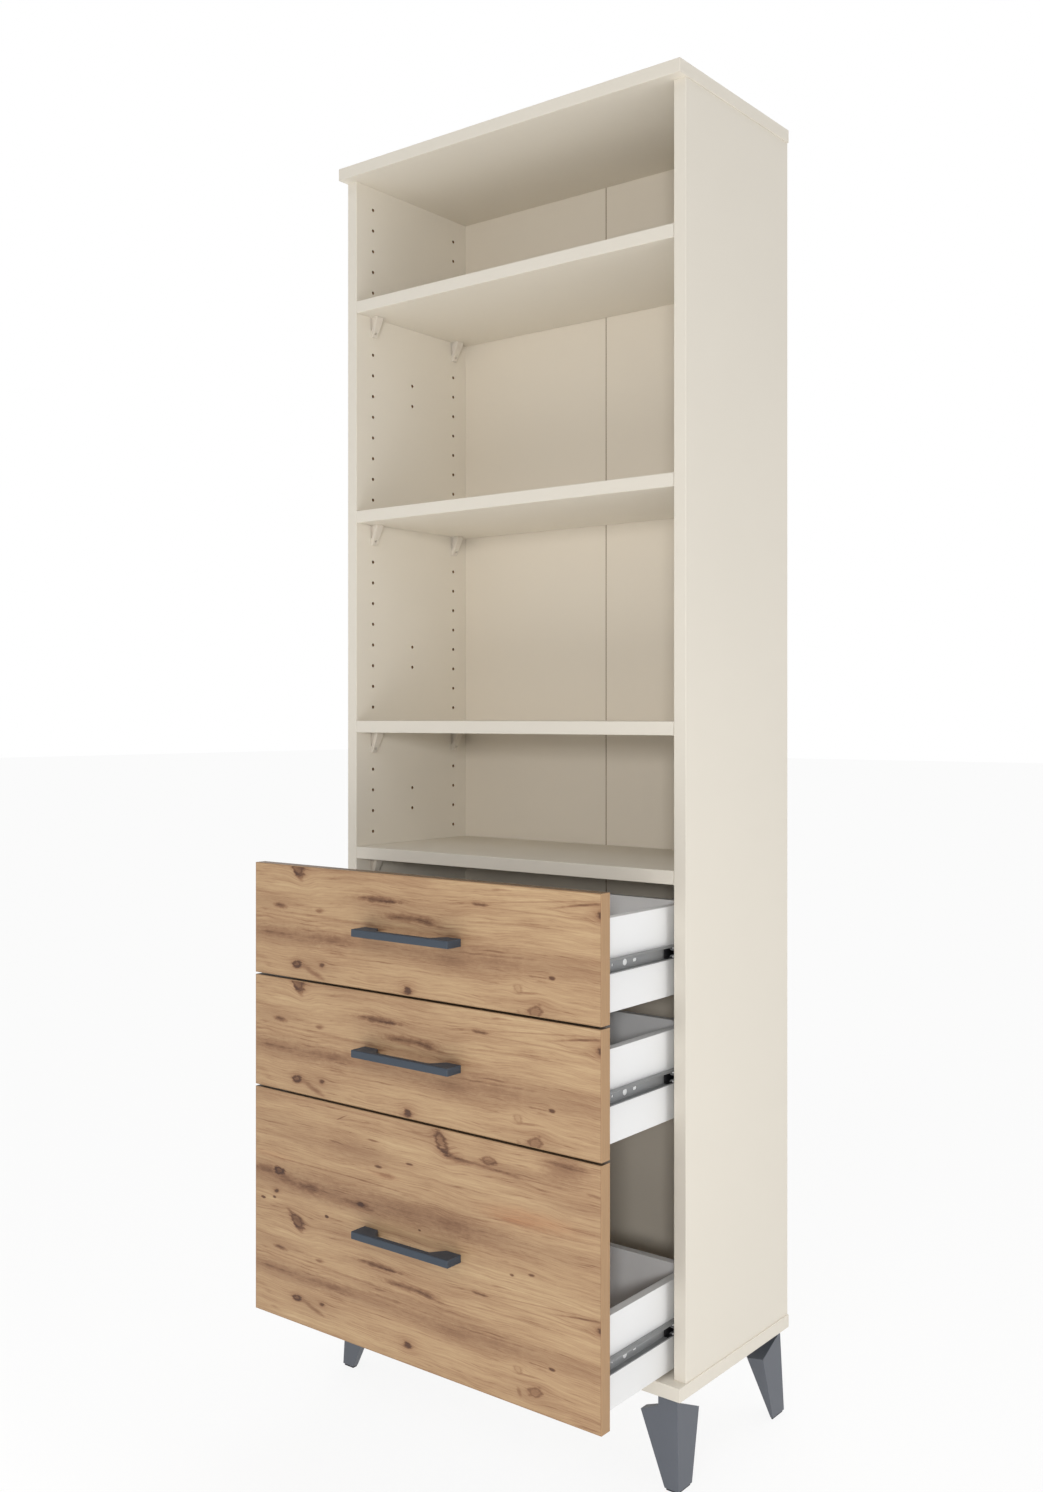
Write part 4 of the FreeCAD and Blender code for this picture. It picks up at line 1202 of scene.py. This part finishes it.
class BOOKCASE_OT_drawer_boxes(bpy.types.Operator):
    """White drawer boxes with their bottoms and cam locks"""
    bl_idname = "bookcase.drawer_boxes"
    bl_label = "Drawer boxes"

    def execute(self, context):
        radius = context.scene.bookcase_boards.box_round
        cam = sink_cross(solid("cam", turned_solid(CAM_PROFILE)), 7.0, 7.0, 1.6, 4.0)
        for drawer in DRAWERS:
            prefix = "drawer_" + drawer + "_"
            groove = bottom_groove(drawer)
            cams = []

            def cam_hole(place, inwards):
                place, inwards = Vector(place), Vector(inwards)
                cams.append(stood(place + CAM_DEPTH * inwards, -inwards))
                return hole(place, inwards, CAM_BORE, CAM_DEPTH)

            for side, node in ((-1, prefix + "left_side"), (1, prefix + "right_side")):
                low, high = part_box(node)
                cam_place = (low.x if side > 0 else high.x, low.y + CAM_INSET, mid_height(node))
                board(node, "white_board", radius, holes=[cam_hole(cam_place, (side, 0, 0))],
                      slabs=[groove])
            node = prefix + "back"
            low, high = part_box(node)
            holes = [cam_hole((side * (high.x - CAM_INSET), low.y, mid_height(node)), (0, 1, 0))
                     for side in BOTH]
            board(node, "white_board", radius, 0, BOX_BACK_ROUND, holes, [groove])
            board(prefix + "bottom", "white_board", BOX_BOTTOM_ROUND)
            spread(prefix + "cam_locks", cams, cam, "cam_zinc")
        cleared(cam)
        return {"FINISHED"}


def handle_fixings(drawer):
    """Places of a handle's two screws, on the back of the drawer's front."""
    node = "drawer_" + drawer + "_front"
    return [(side * HANDLE_REACH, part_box(node)[1].y, mid_height(node)) for side in BOTH]


class BOOKCASE_OT_drawer_fronts(bpy.types.Operator):
    """Wood-decor fronts with edging"""
    bl_idname = "bookcase.drawer_fronts"
    bl_label = "Drawer fronts"

    def execute(self, context):
        radius = context.scene.bookcase_decor.face_round
        for drawer in DRAWERS:
            holes = [hole(place, (0, -1, 0), HANDLE_BORE, THROUGH) for place in handle_fixings(drawer)]
            board("drawer_" + drawer + "_front", "oak_decor", radius, holes=holes,
                  slabs=[bottom_groove(drawer)], material=decor_front(drawer))
        return {"FINISHED"}


class BOOKCASE_OT_handles(bpy.types.Operator):
    """Bar handles and the screws that hold them"""
    bl_idname = "bookcase.handles"
    bl_label = "Handles"

    def execute(self, context):
        screw = screw_master(head=8.0, head_height=2.4, core=4.0, long=27.0)
        for drawer in DRAWERS:
            node = "drawer_" + drawer + "_handle"
            softened(node, context.scene.bookcase_metals.handle_round, "handle_finish")
            rows = [stood(place, (0, 1, 0)) for place in handle_fixings(drawer)]
            spread(node + "_screws", rows, screw, "screw_steel")
        cleared(screw)
        return {"FINISHED"}


# ------------------------------------------------------------------ slides
# Section of a slide, millimetres.
BALL_COLUMN = 8.0     # from the drawer box to the ball centres
BALL_ROW = 5.7        # from the slide's middle to a row of balls
RACE = 1.8            # radius of the races
RAIL_HALF = 8.5       # half the height of the drawer rail
SLIDE_GAP = 12.7      # from the drawer box to the side
BEND = 1.7            # outer radius where the sheet turns
LIP_END = 42          # angle at which the drawer rail's lips end round the balls

# Along a slide, metres.
FRONT_SCREW = 73 * MM       # from the rails' front ends
REAR_SCREW = 28 * MM        # from their rear ends
SCREW_EYE = 3.4 * MM
SPARE_HOLE = (46 * MM, 4.0 * MM)              # place and diameter
SLOT = (96 * MM, 9 * MM, 4.4 * MM)            # place, length and width
SLOT_FIT = 0.996            # height of a slot's straight part beside its round ends
BALL_PITCH = 14 * MM
CAGE_ENDS = 7 * MM          # of a cage, both together, that hold no ball
CAGE_POCKET = ((-1.8 * MM, -1.8 * MM, 5.8 * MM), (4 * MM, 1.8 * MM, 9 * MM))     # round a ball's place
CAGE_NOSE = 1               # balls in the part of the cage that stands out of the cabinet rail
BOX_FACE = SIDE_INNER - SLIDE_GAP * MM      # outer face of a drawer box, from the middle


def round_part(centre, radius, start, end, steps=9):
    """Points on a round from one angle to another; 0 degrees points to the carcass side, 90 up."""
    turns = [math.radians(start + (end - start) * n / steps) for n in range(steps + 1)]
    return [(centre[0] + radius * math.cos(turn), centre[1] + radius * math.sin(turn)) for turn in turns]


def rail_section(sheet, outer):
    """Half section of a rail, millimetres: the outer one on the drawer box, or the one on the side."""
    ball = (BALL_COLUMN, BALL_ROW)
    if outer:
        bend = (BEND, RAIL_HALF - BEND)
        half = [(0.0, 0.0)] + round_part(bend, BEND, 180, 90, 5)
        half += round_part(ball, RACE + sheet, 90, LIP_END, 6) + round_part(ball, RACE, LIP_END, 90, 6)
        return half + round_part(bend, BEND - sheet, 90, 180, 5) + [(sheet, 0.0)]
    bend = (SLIDE_GAP - BEND, BALL_ROW - RACE - BEND)
    half = [(SLIDE_GAP, 0.0)] + round_part(bend, BEND, 0, 90, 5)
    half += round_part(ball, RACE, -90, -190) + round_part(ball, RACE + sheet, -190, -90)
    return half + round_part(bend, BEND - sheet, 90, 0, 5) + [(SLIDE_GAP - sheet, 0.0)]


def rail_screws(node):
    """Places along Y of a rail's screws."""
    low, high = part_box(node)
    return low.y + FRONT_SCREW, low.y + (high.y - low.y - REAR_SCREW)


def rail_pair(node, outer, sheet):
    """Both rails of one drawer, drawn from their section, with their holes."""
    low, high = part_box(node)
    middle = mid_height(node)
    half = rail_section(sheet / MM, outer)
    work = bmesh.new()
    for side in BOTH:
        for up in BOTH:
            ends = [[work.verts.new((side * (BOX_FACE + x * MM), y, middle + up * z * MM))
                     for x, z in half] for y in (low.y, high.y)]
            for n in range(len(half) - 1):
                work.faces.new((ends[0][n], ends[0][n + 1], ends[1][n + 1], ends[1][n]))
            for end in ends:
                skin, lining = end[:len(end) // 2], end[len(end) // 2:][::-1]
                for n in range(len(skin) - 1):
                    work.faces.new((skin[n], skin[n + 1], lining[n + 1], lining[n]))
    bmesh.ops.remove_doubles(work, verts=work.verts, dist=1e-7)
    piece = solid(node + "_finished", work)

    web = BOX_FACE if outer else SIDE_INNER - sheet

    def eye(side, y, diameter):
        return hole((side * web, y, middle), (side, 0, 0), diameter, sheet + 0.5 * MM)

    holes = [(y, SCREW_EYE) for y in rail_screws(node)]
    slots = []
    if outer:
        place, long, wide = SLOT
        holes.append((low.y + SPARE_HOLE[0], SPARE_HOLE[1]))
        slots.append((low.y + place, (long - wide) / 2, wide))
    rows = [eye(side, y, diameter) for y, diameter in holes for side in BOTH]
    slabs = []
    for y, half_long, wide in slots:
        for side in BOTH:
            rows += [eye(side, y + end * half_long, wide) for end in BOTH]
            slabs.append(slab((side * (web - 0.5 * MM), y - half_long, middle - wide / 2 * SLOT_FIT),
                              (side * (web + sheet + 0.5 * MM), y + half_long,
                               middle + wide / 2 * SLOT_FIT)))
    cut_out(piece, finish_for("slide_steel"), rows, slabs, 20)
    flat_faces_first(piece, 40.0)
    stand_for(piece, node, "slide_steel")


class BOOKCASE_OT_slides(bpy.types.Operator):
    """Drawer and cabinet rails of the ball-bearing slides, with their screws"""
    bl_idname = "bookcase.slides"
    bl_label = "Slides"

    def execute(self, context):
        sheet = context.scene.bookcase_metals.sheet
        broad = screw_master(head=8.6, head_height=0.5, core=3.0, long=10.0)
        small = screw_master(head=5.2, head_height=0.5, core=3.0, long=10.0)
        carcass_rows = []
        for drawer in DRAWERS:
            node, carcass_node = "drawer_" + drawer + "_rails", "carcass_rails_" + drawer
            rail_pair(node, True, sheet)
            rail_pair(carcass_node, False, sheet)
            middle = mid_height(node)
            rows = [stood((side * (BOX_FACE + sheet), y, middle), (side, 0, 0))
                    for side in BOTH for y in rail_screws(node)]
            spread("drawer_" + drawer + "_rail_screws", rows, broad, "screw_steel")
            carcass_rows += [stood((side * (SIDE_INNER - sheet), y, middle), (-side, 0, 0))
                             for side in BOTH for y in rail_screws(carcass_node)]
        spread("carcass_rail_screws", carcass_rows, small, "screw_steel")
        cleared(broad, small)
        return {"FINISHED"}


class BOOKCASE_OT_ball_cages(bpy.types.Operator):
    """Ball cages of the slides and the balls that run in them"""
    bl_idname = "bookcase.ball_cages"
    bl_label = "Ball cages"

    def execute(self, context):
        diameter = context.scene.bookcase_metals.ball
        column = BOX_FACE + BALL_COLUMN * MM
        work = bmesh.new()
        bmesh.ops.create_uvsphere(work, u_segments=14, v_segments=8, radius=0.5)
        ball = solid("ball", work)
        for drawer in DRAWERS:
            node = "ball_cages_" + drawer
            low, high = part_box(node)
            long = high.y - low.y
            middle = mid_height(node)
            count = int((long - CAGE_ENDS) // BALL_PITCH)
            first = low.y + (long - (count - 1) * BALL_PITCH) / 2
            work = merged(frame["nodes"][node].data)
            for vert in work.verts:
                if vert.co.y < low.y + 0.1 * MM:
                    vert.co.y -= CAGE_NOSE * BALL_PITCH
            cage = solid(node + "_finished", work)
            pockets = []
            for number in range(-CAGE_NOSE, 0):
                pockets += [slab(*((side * (column + x), first + number * BALL_PITCH + y, middle + up * z)
                                   for x, y, z in CAGE_POCKET)) for side in BOTH for up in BOTH]
            cut_out(cage, finish_for("cage_plastic"), slabs=pockets)
            flat_faces_first(cage)
            stand_for(cage, node, "cage_plastic")
            rows = [((side * column, first + number * BALL_PITCH, middle + up * BALL_ROW * MM), ZERO,
                     (diameter,) * 3)
                    for number in range(-CAGE_NOSE, count) for side in BOTH for up in BOTH]
            piece = set_out("slide_balls_" + drawer, rows, ball, "screw_steel")
            piece.data.shade_smooth()
            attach(piece, "cages_" + drawer)
        cleared(ball)
        return {"FINISHED"}


class BOOKCASE_OT_fasteners(bpy.types.Operator):
    """Panel screws, and the dowels inside the joints"""
    bl_idname = "bookcase.fasteners"
    bl_label = "Panel screws and dowels"

    def execute(self, context):
        screw = screw_master(head=10.0, head_height=4.0, core=5.0, long=46.0, domed=False)
        for node, outwards in PANELS:
            low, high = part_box(node)
            seat = (high.z if outwards > 0 else low.z) - outwards * HEAD_DEPTH
            rows = [stood((side * SIDE_MIDDLE, FRONT_EDGE + setback, seat), (0, 0, outwards))
                    for side in BOTH for setback in SCREW_SETBACKS]
            spread(node + "_screws", rows, screw, "screw_steel")
        cleared(screw)
        paint_over("panel_dowels", beech())
        return {"FINISHED"}


# ------------------------------------------------------------------ stage
CAMERA_PLACE = (1.264, -1.632, 0.9886)
CAMERA_TURN = 38.74                          # degrees from facing the bookcase's front
PICTURE_HEIGHT = 1492                        # pixels, the picture's longer side
PICTURE_SHIFT = (31.5, -29.0)                # pixels across and up


def aimed(data, place, direction):
    light = show(data.name, data)
    light.location = place
    light.rotation_euler = Vector(direction).to_track_quat("-Z", "Y").to_euler()


def far_lamp(name, strength, direction, spread_angle):
    """Soft light that shines along a direction from far away."""
    data = bpy.data.lights.new(name, "SUN")
    data.energy = strength
    data.angle = math.radians(spread_angle)
    aimed(data, (0.0, 0.0, 3.0), direction)


def lamp_panel(name, watts, place, target, size):
    """Flat lamp at a place, turned to a target."""
    data = bpy.data.lights.new(name, "AREA")
    data.shape = "RECTANGLE"
    data.size, data.size_y = size
    data.energy = watts
    aimed(data, place, Vector(target) - Vector(place))


def seen_ray(nodes):
    """1 for rays that show the surroundings to the camera, directly, in gloss or through glass."""
    rays = nodes.values("ShaderNodeLightPath")
    return rays["Is Camera Ray"].at_least(rays["Is Glossy Ray"]).at_least(rays["Is Transmission Ray"])


class BOOKCASE_OT_stage(bpy.types.Operator):
    """Pale floor, white surroundings, soft lamps and the camera"""
    bl_idname = "bookcase.stage"
    bl_label = "Stage"

    def execute(self, context):
        scene = context.scene
        stage = scene.bookcase_stage
        work = bmesh.new()
        bmesh.ops.create_grid(work, x_segments=1, y_segments=1, size=30.0)
        floor = solid("floor", work)
        if floor.data.polygons[0].normal.z < 0:
            floor.data.flip_normals()

        def paint(nodes, shader):
            shade = nodes.noise(nodes.own_place(), 3.0).times(0.01, plus=0.995)
            nodes.feed(shader.inputs["Base Color"], nodes.shaded(stage.floor, shade))
            nodes.feed(shader.inputs["Roughness"], 0.9)
            nodes.feed(shader.inputs["Specular IOR Level"], 0.1)
            glow = nodes.value(0, "ShaderNodeEmission", {"Color": ONE, "Strength": 1.0})
            both = nodes.value(0, "ShaderNodeMixShader", {
                0: seen_ray(nodes) * stage.floor_glow, 1: Value(nodes, shader.outputs[0]), 2: glow})
            nodes.feed(nodes.tree.nodes["Material Output"].inputs["Surface"], both)
        floor.data.materials.append(finish("Pale floor", paint))

        world = bpy.data.worlds.new("White surroundings")
        world.use_nodes = True
        scene.world = world
        nodes = Nodes(world.node_tree)
        sky = world.node_tree.nodes["Background"]
        nodes.feed(sky.inputs["Color"], ONE)
        nodes.feed(sky.inputs["Strength"], nodes.remap(seen_ray(nodes), 0.0, 1.0, stage.sky, 1.0, False))

        far_lamp("high_front", stage.high_front, direction=(-0.25, 1.0, -1.0), spread_angle=20.0)
        far_lamp("high_back", stage.high_back, direction=(0.15, -0.8, -1.0), spread_angle=60.0)
        lamp_panel("front_panel", stage.front, place=(2.24, -3.16, 1.352), target=(0.27, -0.07, 0.62),
                   size=(0.4, 0.4))
        lamp_panel("low_panel", stage.low, place=(1.9, -0.3, 0.35), target=(0.3, 0.1, 0.3), size=(0.9, 0.6))
        lamp_panel("floor_fill", stage.floor_fill, place=(0.2, -1.5, 0.3), target=(0.2, -1.5, 0.0),
                   size=(2.4, 1.5))

        data = bpy.data.cameras.new("camera")
        data.sensor_width = 36.0
        data.lens = stage.lens
        data.shift_x, data.shift_y = (pixels / PICTURE_HEIGHT for pixels in PICTURE_SHIFT)
        data.clip_start, data.clip_end = 0.05, 100.0
        camera = show("camera", data)
        camera.location = CAMERA_PLACE
        camera.rotation_euler = (math.radians(90.0), 0.0, math.radians(CAMERA_TURN))
        scene.camera = camera
        scene.view_settings.view_transform = "Standard"
        return {"FINISHED"}


class BOOKCASE_PT_panel(bpy.types.Panel):
    """Buttons and settings of the bookcase"""
    bl_label = "Bookcase"
    bl_idname = "BOOKCASE_PT_panel"
    bl_space_type = "VIEW_3D"
    bl_region_type = "UI"
    bl_category = "Bookcase"

    def draw(self, context):
        for operator in OPERATORS:
            self.layout.operator(operator.bl_idname)
        for name, kind in SETTINGS.items():
            column = self.layout.box()
            for setting in kind.__annotations__:
                column.prop(getattr(context.scene, name), setting)


SETTINGS = {
    "bookcase_boards": BoardSettings,
    "bookcase_decor": DecorSettings,
    "bookcase_metals": MetalSettings,
    "bookcase_plastics": PlasticSettings,
    "bookcase_stage": StageSettings,
}
OPERATORS = (
    BOOKCASE_OT_stage,
    BOOKCASE_OT_side_boards,
    BOOKCASE_OT_panels_and_shelves,
    BOOKCASE_OT_back,
    BOOKCASE_OT_shelf_supports,
    BOOKCASE_OT_feet,
    BOOKCASE_OT_drawer_boxes,
    BOOKCASE_OT_drawer_fronts,
    BOOKCASE_OT_handles,
    BOOKCASE_OT_slides,
    BOOKCASE_OT_ball_cages,
    BOOKCASE_OT_fasteners,
)


def register():
    for kind in (*SETTINGS.values(), *OPERATORS, BOOKCASE_PT_panel):
        bpy.utils.register_class(kind)
    for name, kind in SETTINGS.items():
        setattr(bpy.types.Scene, name, bpy.props.PointerProperty(type=kind))


def unregister():
    for name in SETTINGS:
        delattr(bpy.types.Scene, name)
    for kind in reversed((*SETTINGS.values(), *OPERATORS, BOOKCASE_PT_panel)):
        bpy.utils.unregister_class(kind)


def main():
    register()
    for operator in OPERATORS:
        group, name = operator.bl_idname.split(".")
        getattr(getattr(bpy.ops, group), name)()
    bpy.context.view_layer.update()


if __name__ == "__main__":
    main()
